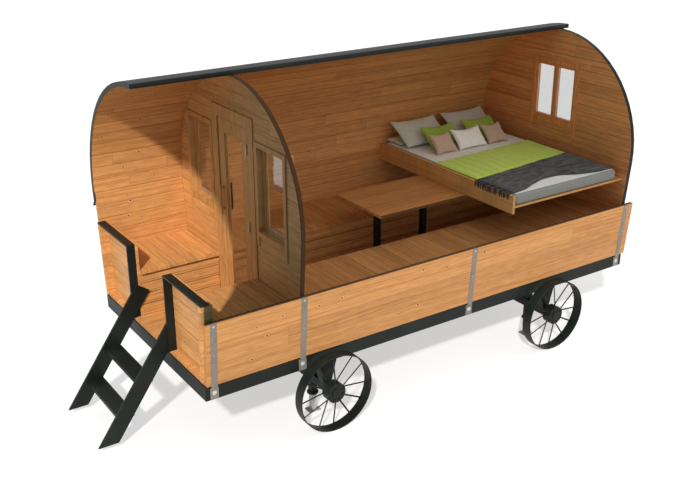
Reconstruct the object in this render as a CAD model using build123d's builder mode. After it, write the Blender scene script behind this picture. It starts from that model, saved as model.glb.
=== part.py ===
from build123d import *
import math
import os

# Camping wagon with a barrel shell, an open porch and four spoked steel wheels.
# Millimetres, +Z up, +X towards the rear.  The origin is on the ground, at the
# middle of the wagon's overall length.  The near side is -Y: its wall stops at
# sill height and its half of the roof is left off, so that the room is open.

os.makedirs("parts", exist_ok=True)

# ---------------------------------------------------------------- dimensions
seat_gap = 0.3              # between a piece and what it is seated on

# chassis
chassis_length = 5000
chassis_width = 2150
chassis_bottom = 641
rail_height = 135
rail_flange = 60
rail_wall = 6
joist_count = 8
joist_width = 60
joist_wall = 4
floor_thickness = 28
floor_board = 131           # width of one floor board
groove = 4                  # width and depth of the joint between two boards

# barrel shell
shell_inset = 27.6          # of the side walls' inner faces from the chassis's sides
roof_centre = 1905          # height of the roof's centre
flare = 4.46                # lean of the straight side walls, degrees
stave = 38                  # thickness of a stave
stave_gap = 0.6             # between two staves of one node
roof_stave_count = 15
side_board_count = 8
tongue = 10                 # height of a tongue, and its thickness
shell_overhang = 30         # of the roof past the chassis's rear
side_front = 12
side_overhang = 25
sill_height = 1363          # top of the low near wall
covering = 5                # roofing felt
covering_edge = 1725        # height where the roofing stops
drip_reach = 34             # how far the drip trim stands out
drip_height = 46
drip_lip = 14               # of the trim's turned-down edge
drip_sheet = 3
edging = 3                  # steel edging on the roof's ends and open ridge

# end walls
partition_front = 913
partition_thickness = 42
rear_wall_inset = 104       # of its front face from the chassis's rear
rear_wall_thickness = 42
door_opening = 720
door_opening_top = 2712
casing = 22                 # overlap of a casing on the wall
casing_thickness = 12
casing_drop = 90            # of a casing's side boards below its bottom board
lining = 22                 # thickness of a side window's lining
reveal = 90                 # depth of the lining
side_window_gap = 58        # between the door opening and a side window
side_window_margin = 34     # between a side window's upper corner and the shell
side_window_bottom = 1710
side_window_top = 2528
sash = 52
sash_thickness = 40
rear_window_width = 640
rear_window_bottom = 2022
rear_window_top = 2682
mullion = 60
glass_thickness = 6

# door
jamb_width = 83             # of the door frame, and its head
door_gap = 9
door_thickness = 40
door_stile = 107
door_rail = 125
door_sill = 20              # height of the threshold above the floor
hinge_radius = 8
hinge_height = 90
hinge_leaf = 3
hinge_web_offset = 2.5      # of the web's middle from the pivot
hinge_reach = 38
hinge_count = 3
handle_height = 260
handle_bottom = 1730
handle_width = 26
handle_thickness = 20
handle_reach = 52

# porch
rail_top = 1530
rail_bar = 16
rail_depth = 77
rail_front = -9
panel_thickness = 28
corner_post = 40            # width of the post between a panel and the side wall
stair_width = 770
stringer = 150
stringer_thickness = 20
stair_foot = 62             # the stair hangs clear of the ground
stair_top = 1139
stair_overlap = 43          # how far the stringers reach over the chassis
stair_reach = 713           # from the chassis to the foot's tip
tread_depth = 150
tread_thickness = 35
tread_tops = (303, 584)

# seats, table and bed
seat_height = 1257
seat_thickness = 28
seat_edge = 358             # from the centre line to a seat's inner edge
bench_clearance = 3         # between a stair stringer and a bench front
slat = 98
slat_gap = 9
slat_thickness = 22
cleat = 45
table_height = 1573
table_thickness = 28
table_length = 1079
table_gap = 10              # between the table and the bed
table_width = 768
table_corner = 12
table_leg = 56
table_leg_inset = 244       # from the table's end to a leg's middle
table_foot = 200
table_foot_thickness = 8
bed_length = 1548
bed_board = 27
bed_board_height = 186
bed_top = 1753              # top of the front board
bed_near = 1056
bed_base_thickness = 20
mattress_height = 110
mattress_sink = 2           # of the mattress's top below the front board's top
mattress_corner = 25
mattress_gap = 76           # between the mattress and the rear wall
mattress_side_gap = 6       # from the front board and the side wall
blanket_front = 4           # from the mattress's front
blanket_rear = 30           # from the mattress's rear
blanket_thickness = 22
throw_thickness = 16

# running gear
wheel_radius = 373
wheel_width = 107
wheel_outset = 137          # of a wheel's outer face from the chassis's side
rim_thickness = 8
front_axle_setback = 1206   # from the chassis's front
rear_axle_setback = 1077    # from the chassis's rear
axle_beam = 80
axle_shoulder = 48          # between a beam's end and the hub
stub_radius = 25
bearing_gap = 0.05
hub_radius = 95
hub_length = 92
hub_setback = 12            # of the hub's outer end from the wheel's face
hub_cap_radius = 48
hub_cap_height = 8
stub_setback = 24           # of the stub's end from the wheel's face
stub_end_gap = 4
spoke_count = 12
spoke_radius = 8
hanger_inset = 65           # from the chassis's side to a hanger's middle
hanger_width = 90
hanger_flare = 60
jack_inset = 280            # from the chassis's side to a jack's middle
jack_sleeve = 60
jack_sleeve_wall = 4
jack_sleeve_bottom = 185
jack_sleeve_top = 600
jack_slide_gap = 0.5
jack_leg_wall = 4
jack_leg_top = 400
foot_length = 124
foot_width = 104
foot_thickness = 6
foot_corner = 10

# straps on the side walls
strap_width = 56
strap_thickness = 4
strap_foot_width = 76
strap_foot_height = 112
strap_foot_lift = 2         # above the chassis's underside
strap_bend = 22             # of its bend below the chassis's top
strap_top_gap = 14          # below the drip trim
strap_end_inset = 80        # of the end straps from the chassis's ends
strap_middle_x = 2830

# pillows: middle x and y, lift above the mattress, width, depth, thickness,
# tilt up towards the wall and turn, in degrees; x is from the mattress's front
pillow_rounding = 0.35      # chamfer as a share of the thickness
pillows_laid_out = (
    (355, 975, 0.3, 640, 250, 60, 0, 0),
    (1070, 975, 0.3, 640, 250, 60, 0, 0),
    (355, 885, 0.5, 640, 420, 90, 32, 0),
    (1070, 885, 0.5, 640, 420, 90, 32, 0),
    (470, 640, 0.3, 470, 330, 70, 39, 0),
    (1050, 640, 0.3, 470, 330, 70, 39, 0),
    (330, 455, 0.3, 290, 270, 60, 44, 0),
    (700, 455, 0.3, 420, 280, 66, 44, 0),
    (1070, 455, 0.3, 290, 270, 60, 44, 0),
)

# ------------------------------------------------------------ derived values
shell_length = chassis_length + shell_overhang
side_length = chassis_length + side_overhang - side_front
front = (stair_reach - shell_length) / 2    # x of the chassis's front face
half_width = chassis_width / 2
chassis_top = chassis_bottom + rail_height
floor_top = chassis_top + floor_thickness
rear_wall_front = chassis_length - rear_wall_inset
axle_height = wheel_radius
lean = math.radians(flare)
roof_radius = (half_width - shell_inset) * math.cos(lean) + (roof_centre - chassis_top) * math.sin(lean)
bend_y = roof_radius * math.cos(lean)
bend_z = roof_centre - roof_radius * math.sin(lean)
flank_length = (bend_z - chassis_top) / math.cos(lean)
arc_length = roof_radius * math.radians(90 + flare)


def shell_y(z, depth=0):
    """Half width of the shell at height z, depth outside its inner face."""
    radius = roof_radius + depth
    if z > roof_centre - radius * math.sin(lean):
        return math.sqrt(radius**2 - (z - roof_centre)**2)
    return radius / math.cos(lean) - (roof_centre - z) * math.tan(lean)


def shell_point(along, depth):
    """Point (y, z) on the far side, measured up the inner face from the chassis."""
    if along <= flank_length:
        y = bend_y - (flank_length - along) * math.sin(lean)
        z = chassis_top + along * math.cos(lean)
        return y + depth * math.cos(lean), z - depth * math.sin(lean)
    angle = (along - flank_length) / roof_radius - lean
    radius = roof_radius + depth
    return radius * math.cos(angle), roof_centre + radius * math.sin(angle)


def stave_outline(low, high):
    """Corners of one tongued stave between two lengths along the shell."""
    inner, outer = (stave - tongue) / 2, (stave + tongue) / 2
    half = stave_gap / 2
    socket = tongue + stave_gap
    return [
        shell_point(low + half, 0),
        shell_point(low + half, inner - half),
        shell_point(low + half + socket, inner - half),
        shell_point(low + half + socket, outer + half),
        shell_point(low + half, outer + half),
        shell_point(low + half, stave),
        shell_point(high - half, stave),
        shell_point(high - half, outer),
        shell_point(high - half + tongue, outer),
        shell_point(high - half + tongue, inner),
        shell_point(high - half, inner),
        shell_point(high - half, 0),
    ]


def end_outline(bottom, clearance):
    """Closed outline of an end wall that fits inside the staves."""
    first = [0] + [flank_length * n / side_board_count for n in range(1, side_board_count + 1)]
    rest = [flank_length + arc_length * n / roof_stave_count for n in range(1, roof_stave_count + 1)]
    half = [shell_point(along, -clearance) for along in first + rest]
    half = [(y, z) for y, z in half if z > bottom + 1]
    half.insert(0, (shell_y(bottom, -clearance), bottom))
    return half + [(-y, z) for y, z in reversed(half[:-1])]


def write(piece, name):
    """Label one finished piece and write its STEP file."""
    piece.part.label = name
    export_step(piece.part, "parts/" + name + ".step")


# ------------------------------------------------------------------- chassis
# Four channel sections with their webs outwards, mitred at the corners.
def channel_points(web_at):
    """Channel section with its web at one side and its flanges inwards."""
    inward = web_at - rail_flange
    web = web_at - rail_wall
    low = chassis_bottom
    high = chassis_top
    return [
        (web_at, low), (web_at, high), (inward, high), (inward, high - rail_wall),
        (web, high - rail_wall), (web, low + rail_wall), (inward, low + rail_wall), (inward, low),
    ]


half_length = chassis_length / 2
middle = front + half_length
with BuildPart() as side_rails:
    with BuildSketch(Plane.YZ.offset(front)):
        with BuildLine():
            Polyline(channel_points(half_width), close=True)
        make_face()
    extrude(amount=chassis_length)
    for end in (-1, 1):
        corner = Plane(
            origin=(middle + end * half_length, half_width, 0),
            x_dir=(0, 0, 1),
            z_dir=(end, -1, 0),
        )
        split(bisect_by=corner.offset(-seat_gap), keep=Keep.BOTTOM)
    mirror(about=Plane.XZ)
write(side_rails, "side_rails")

with BuildPart() as end_beams:
    with BuildSketch(Plane.XZ.offset(-half_width)):
        with BuildLine():
            Polyline([(middle + x, z) for x, z in channel_points(half_length)], close=True)
        make_face()
    extrude(amount=chassis_width)
    for side in (-1, 1):
        corner = Plane(
            origin=(middle + half_length, side * half_width, 0),
            x_dir=(0, 0, 1),
            z_dir=(-1, side, 0),
        )
        split(bisect_by=corner, keep=Keep.BOTTOM)
    mirror(about=Plane.YZ.offset(middle))
write(end_beams, "end_beams")

# Joists of square tube stand between the side rails, under the floor.
joist_pitch = chassis_length / (joist_count + 1)
joist_length = chassis_width - 2 * rail_flange
with BuildPart() as floor_joists:
    with BuildSketch(Plane.XZ.offset(-joist_length / 2)):
        with Locations((middle, chassis_top - joist_width / 2)):
            with GridLocations(joist_pitch, 1, joist_count, 1):
                Rectangle(joist_width, joist_width)
                Rectangle(joist_width - 2 * joist_wall, joist_width - 2 * joist_wall, mode=Mode.SUBTRACT)
    extrude(amount=joist_length)
write(floor_joists, "floor_joists")

# Floor boards run lengthways, with a groove along each joint.
floor_half = shell_y(chassis_top) - seat_gap
board_lines = int(floor_half / floor_board)
with BuildPart() as floor_boards:
    with BuildSketch(Plane.YZ.offset(front + side_front)):
        with Locations((0, chassis_top + floor_thickness / 2)):
            Rectangle(2 * floor_half, floor_thickness)
        for line in range(-board_lines, board_lines + 1):
            with Locations((line * floor_board, floor_top - groove / 4)):
                Rectangle(groove / 2, groove / 2, mode=Mode.SUBTRACT)
    extrude(amount=side_length)
write(floor_boards, "floor_boards")


# --------------------------------------------------------------------- shell
# Tongued staves: straight ones in the side walls, mitred ones round the roof.
def draw_stave(low, high, side):
    """Face of one stave, on the far side (1) or the near side (-1)."""
    Polygon([(side * y, z) for y, z in stave_outline(low, high)], align=None)


side_board = flank_length / side_board_count
with BuildPart() as far_side_boards:
    with BuildSketch(Plane.YZ.offset(front + side_front)):
        for n in range(side_board_count):
            draw_stave(n * side_board, (n + 1) * side_board, 1)
    extrude(amount=side_length)
    split(bisect_by=Plane.XY.offset(chassis_top), keep=Keep.TOP)
write(far_side_boards, "far_side_boards")

with BuildPart() as near_side_boards:
    with BuildSketch(Plane.YZ.offset(front + side_front)):
        for n in range(side_board_count):
            if chassis_top + n * side_board * math.cos(lean) < sill_height:
                draw_stave(n * side_board, (n + 1) * side_board, -1)
    extrude(amount=side_length)
    split(bisect_by=Plane.XY.offset(sill_height), keep=Keep.BOTTOM)
    split(bisect_by=Plane.XY.offset(chassis_top), keep=Keep.TOP)
write(near_side_boards, "near_side_boards")

roof_stave = arc_length / roof_stave_count
with BuildPart() as roof_staves:
    with BuildSketch(Plane.YZ.offset(front + edging + seat_gap)):
        for n in range(roof_stave_count):
            low = flank_length + n * roof_stave
            draw_stave(low, low + roof_stave, 1)
    extrude(amount=shell_length - 2 * (edging + seat_gap))
    split(bisect_by=Plane.XZ, keep=Keep.BOTTOM)
write(roof_staves, "roof_staves")



def roof_band(inner, outer):
    """Outline of a band over the roof staves, down to the covering's lower edge."""
    marks = [flank_length + roof_stave * n for n in range(roof_stave_count + 1)]
    under = [(shell_y(covering_edge, inner), covering_edge)] + [shell_point(mark, inner) for mark in marks]
    over = [(shell_y(covering_edge, outer), covering_edge)] + [shell_point(mark, outer) for mark in marks]
    return under + over[::-1]


# The felt covering lies over the staves and ends above the eaves.
covering_inner = stave + seat_gap
with BuildPart() as roof_covering:
    with BuildSketch(Plane.YZ.offset(front)):
        Polygon(roof_band(covering_inner, covering_inner + covering), align=None)
    extrude(amount=shell_length)
write(roof_covering, "roof_covering")

# A folded metal drip trim holds the covering's lower edge.
drip_edge = covering_edge - drip_height
drip_y = shell_y(drip_edge, stave + seat_gap) + 1 + drip_reach
with BuildPart() as drip_trim:
    with BuildSketch(Plane.YZ.offset(front)):
        with BuildLine():
            Polyline([
                (drip_y, drip_edge - drip_lip / 2),
                (drip_y, drip_edge + drip_lip / 2),
                (shell_y(covering_edge - 2, stave + 2), covering_edge - 2),
            ])
            offset(amount=drip_sheet / 2, side=Side.BOTH)
        make_face()
    extrude(amount=shell_length)
write(drip_trim, "drip_trim")

# Steel edging closes the staves' ends, the open ridge and the rear wall's near rim.
ridge_bottom = roof_centre + roof_radius
rim_start = (sill_height - chassis_top) / math.cos(lean) + 1
rim_end = flank_length + arc_length - edging - 1
rim_marks = [rim_start] + [flank_length + roof_stave * n for n in range(roof_stave_count)] + [rim_end]
rim_inner = [shell_point(mark, 0) for mark in rim_marks]
rim_outer = [shell_point(mark, edging) for mark in reversed(rim_marks)]
with BuildPart() as edge_trim:
    for start in (front, front + shell_length - edging):
        with BuildSketch(Plane.YZ.offset(start)):
            Polygon(roof_band(0, stave), align=None)
            with Locations((-(edging + seat_gap) / 2, ridge_bottom + stave / 2)):
                Rectangle(edging + seat_gap, stave)
        extrude(amount=edging)
    with BuildSketch(Plane.YZ.offset(front)):
        with Locations((-seat_gap - edging / 2, ridge_bottom + stave / 2)):
            Rectangle(edging, stave)
    extrude(amount=shell_length)
    with BuildSketch(Plane.YZ.offset(front + rear_wall_front)):
        Polygon([(-y, z) for y, z in rim_inner + rim_outer], align=None)
    extrude(amount=rear_wall_thickness)
write(edge_trim, "edge_trim")

# ----------------------------------------------------------------- end walls
side_window_inner = door_opening / 2 + side_window_gap
side_window_outer = shell_y(side_window_top + casing) - side_window_margin
side_window_width = side_window_outer - side_window_inner
side_window_middle = side_window_inner + side_window_width / 2
side_window_height = side_window_top - side_window_bottom
side_window_centre = (side_window_top + side_window_bottom) / 2
rear_window_height = rear_window_top - rear_window_bottom
rear_window_centre = (rear_window_top + rear_window_bottom) / 2
opening_height = door_opening_top - floor_top

with BuildPart() as partition:
    with BuildSketch(Plane.YZ.offset(front + partition_front)):
        Polygon(end_outline(floor_top, seat_gap), align=None)
        with Locations((0, floor_top + opening_height / 2)):
            Rectangle(door_opening, opening_height, mode=Mode.SUBTRACT)
        with Locations((-side_window_middle, side_window_centre), (side_window_middle, side_window_centre)):
            Rectangle(side_window_width, side_window_height, mode=Mode.SUBTRACT)
    extrude(amount=partition_thickness)
write(partition, "partition")

with BuildPart() as rear_wall:
    with BuildSketch(Plane.YZ.offset(front + rear_wall_front)):
        Polygon(end_outline(floor_top, seat_gap), align=None)
        with Locations((0, rear_window_centre)):
            Rectangle(rear_window_width, rear_window_height, mode=Mode.SUBTRACT)
    extrude(amount=rear_wall_thickness)
write(rear_wall, "rear_wall")


def draw_ring(width, height, border):
    """Rectangular frame drawn round the present location."""
    Rectangle(width, height)
    Rectangle(width - 2 * border, height - 2 * border, mode=Mode.SUBTRACT)


def draw_casing(width, height, board):
    """Casing round the present location; its side boards run on below it."""
    draw_ring(width, height, board)
    with GridLocations(width - board, 0, 2, 1):
        with Locations((0, -(height + casing_drop) / 2)):
            Rectangle(board, casing_drop)


# Side windows: a casing on the porch side, a deep lining, a set-back sash and a pane.
window_fit = 2 * seat_gap
side_windows = ((-side_window_middle, side_window_centre), (side_window_middle, side_window_centre))
sash_front = front + partition_front + reveal - sash_thickness
with BuildPart() as window_sashes:
    with BuildSketch(Plane.YZ.offset(front + partition_front)):
        with Locations(*side_windows):
            draw_ring(side_window_width - window_fit, side_window_height - window_fit, lining)
    extrude(amount=reveal)
    with BuildSketch(Plane.YZ.offset(sash_front)):
        with Locations(*side_windows):
            draw_ring(side_window_width - window_fit, side_window_height - window_fit, sash)
    extrude(amount=sash_thickness)
    with BuildSketch(Plane.YZ.offset(front + partition_front)):
        with Locations(*side_windows):
            draw_casing(side_window_width + 2 * casing, side_window_height + 2 * casing, casing + lining)
    extrude(amount=-casing_thickness)
write(window_sashes, "window_sashes")

pane_width = side_window_width - window_fit - 2 * sash
pane_height = side_window_height - window_fit - 2 * sash
with BuildPart() as window_panes:
    with BuildSketch(Plane.YZ.offset(sash_front + (sash_thickness - glass_thickness) / 2)):
        with Locations(*side_windows):
            Rectangle(pane_width - window_fit, pane_height - window_fit)
    extrude(amount=glass_thickness)
write(window_panes, "window_panes")

rear_sash_width = rear_window_width - window_fit
rear_sash_height = rear_window_height - window_fit
rear_pane_width = (rear_sash_width - 2 * sash - mullion) / 2
rear_pane_height = rear_sash_height - 2 * sash
rear_pane_y = (rear_pane_width + mullion) / 2
with BuildPart() as rear_window_frame:
    with BuildSketch(Plane.YZ.offset(front + rear_wall_front)):
        with Locations((0, rear_window_centre)):
            Rectangle(rear_sash_width, rear_sash_height)
        with Locations((-rear_pane_y, rear_window_centre), (rear_pane_y, rear_window_centre)):
            Rectangle(rear_pane_width, rear_pane_height, mode=Mode.SUBTRACT)
    extrude(amount=rear_wall_thickness)
    with BuildSketch(Plane.YZ.offset(front + rear_wall_front)):
        with Locations((0, rear_window_centre)):
            draw_casing(rear_window_width + 2 * casing, rear_window_height + 2 * casing, casing + sash / 2)
    extrude(amount=-casing_thickness)
write(rear_window_frame, "rear_window_frame")

with BuildPart() as rear_window_panes:
    with BuildSketch(Plane.YZ.offset(front + rear_wall_front + (rear_wall_thickness - glass_thickness) / 2)):
        with Locations((-rear_pane_y, rear_window_centre), (rear_pane_y, rear_window_centre)):
            Rectangle(rear_pane_width - window_fit, rear_pane_height - window_fit)
    extrude(amount=glass_thickness)
write(rear_window_panes, "rear_window_panes")

# ---------------------------------------------------------------------- door
# The frame lines the opening and laps over the partition's porch side.
frame_half = door_opening / 2 - seat_gap
frame_inner = frame_half - jamb_width
frame_top = door_opening_top - seat_gap
leaf_top = frame_top - jamb_width - door_gap
leaf_bottom = floor_top + door_sill + door_gap
leaf_half = frame_inner - door_gap
leaf_front = partition_front
with BuildPart() as door_frame:
    with BuildSketch(Plane.YZ.offset(front + partition_front)):
        with Locations((0, (floor_top + frame_top) / 2)):
            Rectangle(2 * frame_half, frame_top - floor_top)
            Rectangle(2 * frame_inner, frame_top - floor_top, mode=Mode.SUBTRACT)
        with Locations((0, frame_top - jamb_width / 2)):
            Rectangle(2 * frame_half, jamb_width)
        with Locations((0, floor_top + door_sill / 2)):
            Rectangle(2 * frame_half, door_sill)
    extrude(amount=partition_thickness)
    with BuildSketch(Plane.YZ.offset(front + partition_front)):
        with Locations((0, (floor_top + frame_top + casing) / 2)):
            Rectangle(2 * (frame_half + casing), frame_top + casing - floor_top)
        with Locations((0, (floor_top + frame_top - jamb_width) / 2)):
            Rectangle(2 * frame_inner, frame_top - jamb_width - floor_top, mode=Mode.SUBTRACT)
    extrude(amount=-casing_thickness)
write(door_frame, "door_frame")

leaf_height = leaf_top - leaf_bottom
light_width = 2 * (leaf_half - door_stile)
light_height = leaf_height - 2 * door_rail
with BuildPart() as door_leaf:
    with BuildSketch(Plane.YZ.offset(front + leaf_front)):
        with Locations((0, (leaf_top + leaf_bottom) / 2)):
            Rectangle(2 * leaf_half, leaf_height)
            Rectangle(light_width, light_height, mode=Mode.SUBTRACT)
    extrude(amount=door_thickness)
write(door_leaf, "door_leaf")

with BuildPart() as door_glass:
    with BuildSketch(Plane.YZ.offset(front + leaf_front + (door_thickness - glass_thickness) / 2)):
        with Locations((0, (leaf_top + leaf_bottom) / 2)):
            Rectangle(light_width - window_fit, light_height - window_fit)
    extrude(amount=glass_thickness)
write(door_glass, "door_glass")

# Barrel hinges on the near jamb: the leaf swings out over the porch.
hinge_x = front + leaf_front - casing_thickness - hinge_radius - seat_gap
hinge_y = -frame_inner
web_y = hinge_y + hinge_web_offset
hinge_pitch = (leaf_height - 4 * hinge_height) / (hinge_count - 1)
with BuildPart() as door_hinges:
    for n in range(hinge_count):
        low = leaf_bottom + 1.5 * hinge_height + n * hinge_pitch
        with BuildSketch(Plane.XY.offset(low)):
            with Locations((hinge_x, hinge_y)):
                Circle(hinge_radius)
            Polygon(
                [
                    (hinge_x, web_y - hinge_leaf / 2),
                    (front + leaf_front - seat_gap, web_y - hinge_leaf / 2),
                    (front + leaf_front - seat_gap, -leaf_half + hinge_reach),
                    (front + leaf_front - seat_gap - hinge_leaf, -leaf_half + hinge_reach),
                    (front + leaf_front - seat_gap - hinge_leaf, web_y + hinge_leaf / 2),
                    (hinge_x, web_y + hinge_leaf / 2),
                ],
                align=None,
            )
        extrude(amount=hinge_height)
write(door_hinges, "door_hinges")

# Pull handle on the far stile: an upright bar on two feet.
handle_y = leaf_half - door_stile / 2
handle_foot = handle_reach - handle_thickness
with BuildPart() as door_handle:
    with BuildSketch(Plane.YZ.offset(front + leaf_front - handle_reach)):
        with Locations((handle_y, handle_bottom + handle_height / 2)):
            Rectangle(handle_width, handle_height)
    extrude(amount=handle_thickness)
    chamfer(door_handle.edges(), length=handle_thickness / 4)
    with BuildSketch(Plane.YZ.offset(front + leaf_front)):
        with Locations(
            (handle_y, handle_bottom + handle_width),
            (handle_y, handle_bottom + handle_height - handle_width),
        ):
            Rectangle(handle_thickness, handle_thickness)
    extrude(amount=-handle_foot)
write(door_handle, "door_handle")

# --------------------------------------------------------------------- porch
# Two steel frames, each a post and a top rail, stand beside the stair opening.
# Behind each is a pine panel with a corner post at the side wall.
post_y = stair_width / 2 + seat_gap
rail_end = shell_y(rail_top, -1)
with BuildPart() as porch_rails:
    with BuildSketch(Plane.YZ.offset(front + rail_front)):
        for side in (-1, 1):
            Polygon(
                [
                    (side * post_y, floor_top),
                    (side * post_y, rail_top),
                    (side * rail_end, rail_top),
                    (side * shell_y(rail_top - rail_bar, -1), rail_top - rail_bar),
                    (side * (post_y + rail_bar), rail_top - rail_bar),
                    (side * (post_y + rail_bar), floor_top),
                ],
                align=None,
            )
    extrude(amount=rail_depth)
    fillet(
        porch_rails.edges().filter_by(Axis.X).filter_by(
            lambda edge: abs(edge.center().Z - rail_top) < 1 and abs(abs(edge.center().Y) - post_y) < 1
        ),
        radius=rail_bar / 2,
    )
write(porch_rails, "porch_rails")

panel_front = rail_front + rail_depth
panel_top = rail_top - rail_bar
post_top = panel_top - seat_gap
with BuildPart() as porch_panels:
    with BuildSketch(Plane.YZ.offset(front + panel_front)):
        for side in (-1, 1):
            Polygon(
                [
                    (side * post_y, floor_top),
                    (side * post_y, panel_top),
                    (side * shell_y(panel_top, -seat_gap), panel_top),
                    (side * shell_y(floor_top, -seat_gap), floor_top),
                ],
                align=None,
            )
    extrude(amount=panel_thickness)
    with BuildSketch(Plane.YZ.offset(front + rail_front)):
        for side in (-1, 1):
            Polygon(
                [
                    (side * shell_y(floor_top, -seat_gap - corner_post), floor_top),
                    (side * shell_y(floor_top, -seat_gap), floor_top),
                    (side * shell_y(post_top, -seat_gap), post_top),
                    (side * shell_y(post_top, -seat_gap - corner_post), post_top),
                ],
                align=None,
            )
    extrude(amount=rail_depth)
write(porch_panels, "porch_panels")

# Stair: two slanting stringers hooked on the end beam, and two treads.
stair_rise = stair_top - stair_foot
stair_slope = math.atan2(stair_rise, stair_reach + stair_overlap)
stringer_foot = stringer / math.sin(stair_slope)
stair_outer = stair_width / 2
stringer_inner = stair_outer - stringer_thickness


def stringer_front(z):
    """Distance of a stringer's front edge from the chassis at height z."""
    return (z - stair_foot) / math.tan(stair_slope) - stair_reach


with BuildPart() as stair_stringers:
    with BuildSketch(Plane.XZ.offset(-stair_outer)):
        Polygon(
            [
                (front + stringer_front(stair_foot), stair_foot),
                (front + stringer_front(stair_foot) + stringer_foot, stair_foot),
                (
                    front + stringer_front(stair_top) + stringer * math.sin(stair_slope),
                    stair_top - stringer * math.cos(stair_slope),
                ),
                (front + stringer_front(stair_top), stair_top),
            ],
            align=None,
        )
    extrude(amount=stringer_thickness)
    mirror(about=Plane.XZ)
write(stair_stringers, "stair_stringers")

with BuildPart() as stair_treads:
    with BuildSketch(Plane.XZ.offset(-stringer_inner)):
        for top in tread_tops:
            back = front + stringer_front(top) + stringer_foot
            with Locations((back - tread_depth / 2, top - tread_thickness / 2)):
                Rectangle(tread_depth, tread_thickness)
    extrude(amount=2 * stringer_inner)
write(stair_treads, "stair_treads")

# ---------------------------------------------------------- benches and table
# Each bench is a planked seat over a slatted front that stands on the floor.
seat_bottom = seat_height - seat_thickness
front_y = stair_width / 2 + bench_clearance
porch_bench_front = panel_front + panel_thickness + seat_gap
porch_bench_length = partition_front - casing_thickness - 2 * seat_gap - porch_bench_front
cabin_bench_front = partition_front + partition_thickness + seat_gap
cabin_bench_length = rear_wall_front - cabin_bench_front - seat_gap
slat_pitch = slat + slat_gap
slat_count = int((seat_bottom - floor_top + slat_gap) / slat_pitch)


def draw_seat():
    """Seat section on each side, shaped to the leaning wall."""
    for side in (-1, 1):
        Polygon(
            [
                (side * seat_edge, seat_bottom),
                (side * seat_edge, seat_height),
                (side * shell_y(seat_height, -seat_gap), seat_height),
                (side * shell_y(seat_bottom, -seat_gap), seat_bottom),
            ],
            align=None,
        )


def draw_slats():
    """Slats of a bench front, one above the other, on each side."""
    for side in (-1, 1):
        for n in range(slat_count):
            with Locations((side * (front_y + slat_thickness / 2), seat_bottom - slat / 2 - n * slat_pitch)):
                Rectangle(slat_thickness, slat)


def draw_cleats(middle_x, length):
    """Upright cleats behind the slats, near both ends of a bench."""
    for side in (-1, 1):
        for end in (-1, 1):
            cleat_x = middle_x + end * (length - cleat) / 2
            with Locations((cleat_x, side * (front_y + slat_thickness + cleat / 2))):
                Rectangle(cleat, cleat)


benches = {
    "porch_bench": (front + porch_bench_front, porch_bench_length),
    "cabin_bench": (front + cabin_bench_front, cabin_bench_length),
}
for name, (start, length) in benches.items():
    with BuildPart() as bench_seats:
        with BuildSketch(Plane.YZ.offset(start)):
            draw_seat()
        extrude(amount=length)
    write(bench_seats, name + "_seats")

    with BuildPart() as bench_fronts:
        with BuildSketch(Plane.YZ.offset(start)):
            draw_slats()
        extrude(amount=length)
        with BuildSketch(Plane.XY.offset(floor_top)):
            draw_cleats(start + length / 2, length)
        extrude(amount=seat_bottom - floor_top)
    write(bench_fronts, name + "_fronts")

bed_front = rear_wall_front - bed_length
table_rear = bed_front - table_gap
table_front = table_rear - table_length
with BuildPart() as table_top:
    with BuildSketch(Plane.XY.offset(table_height - table_thickness)):
        with Locations((front + table_front + table_length / 2, 0)):
            RectangleRounded(table_length, table_width, table_corner)
    extrude(amount=table_thickness)
write(table_top, "table_top")

leg_height = table_height - table_thickness - floor_top
table_leg_positions = (table_front + table_leg_inset, table_rear - table_leg_inset)
with BuildPart() as table_legs:
    with BuildSketch(Plane.XY.offset(floor_top)):
        with Locations(*[(front + x, 0) for x in table_leg_positions]):
            Rectangle(table_leg, table_leg)
    extrude(amount=leg_height)
    with BuildSketch(Plane.XY.offset(floor_top)):
        with Locations(*[(front + x, 0) for x in table_leg_positions]):
            Rectangle(table_foot, table_foot)
    extrude(amount=table_foot_thickness)
write(table_legs, "table_legs")

# ------------------------------------------------------------------------ bed
bed_base_top = bed_top - mattress_height + mattress_sink
bed_base_bottom = bed_base_top - bed_base_thickness
bed_inner_front = bed_front + bed_board
bed_rear = rear_wall_front - seat_gap
bed_far = shell_y(bed_base_bottom, -seat_gap)
with BuildPart() as bed_frame:
    with BuildSketch(Plane.YZ.offset(front + bed_front)):
        Polygon(
            [
                (-bed_near, bed_top - bed_board_height),
                (-bed_near, bed_top),
                (shell_y(bed_top, -seat_gap), bed_top),
                (shell_y(bed_top - bed_board_height, -seat_gap), bed_top - bed_board_height),
            ],
            align=None,
        )
    extrude(amount=bed_board)
    with BuildSketch(Plane.XY.offset(bed_base_bottom)):
        Polygon(
            [
                (front + bed_inner_front, -bed_near),
                (front + bed_inner_front, bed_far),
                (front + bed_rear, bed_far),
                (front + bed_rear, -bed_near),
            ],
            align=None,
        )
    extrude(amount=bed_base_thickness)
write(bed_frame, "bed_frame")

mattress_front = bed_inner_front + mattress_side_gap
mattress_length = rear_wall_front - mattress_gap - mattress_front
mattress_far = shell_y(bed_base_top, -mattress_side_gap)
mattress_width = mattress_far + bed_near - mattress_side_gap
with BuildPart() as mattress:
    with BuildSketch(Plane.XY.offset(bed_base_top + seat_gap)):
        with Locations((front + mattress_front + mattress_length / 2, mattress_far - mattress_width / 2)):
            RectangleRounded(mattress_length, mattress_width, mattress_corner)
    extrude(amount=mattress_height)
write(mattress, "mattress")

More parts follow.
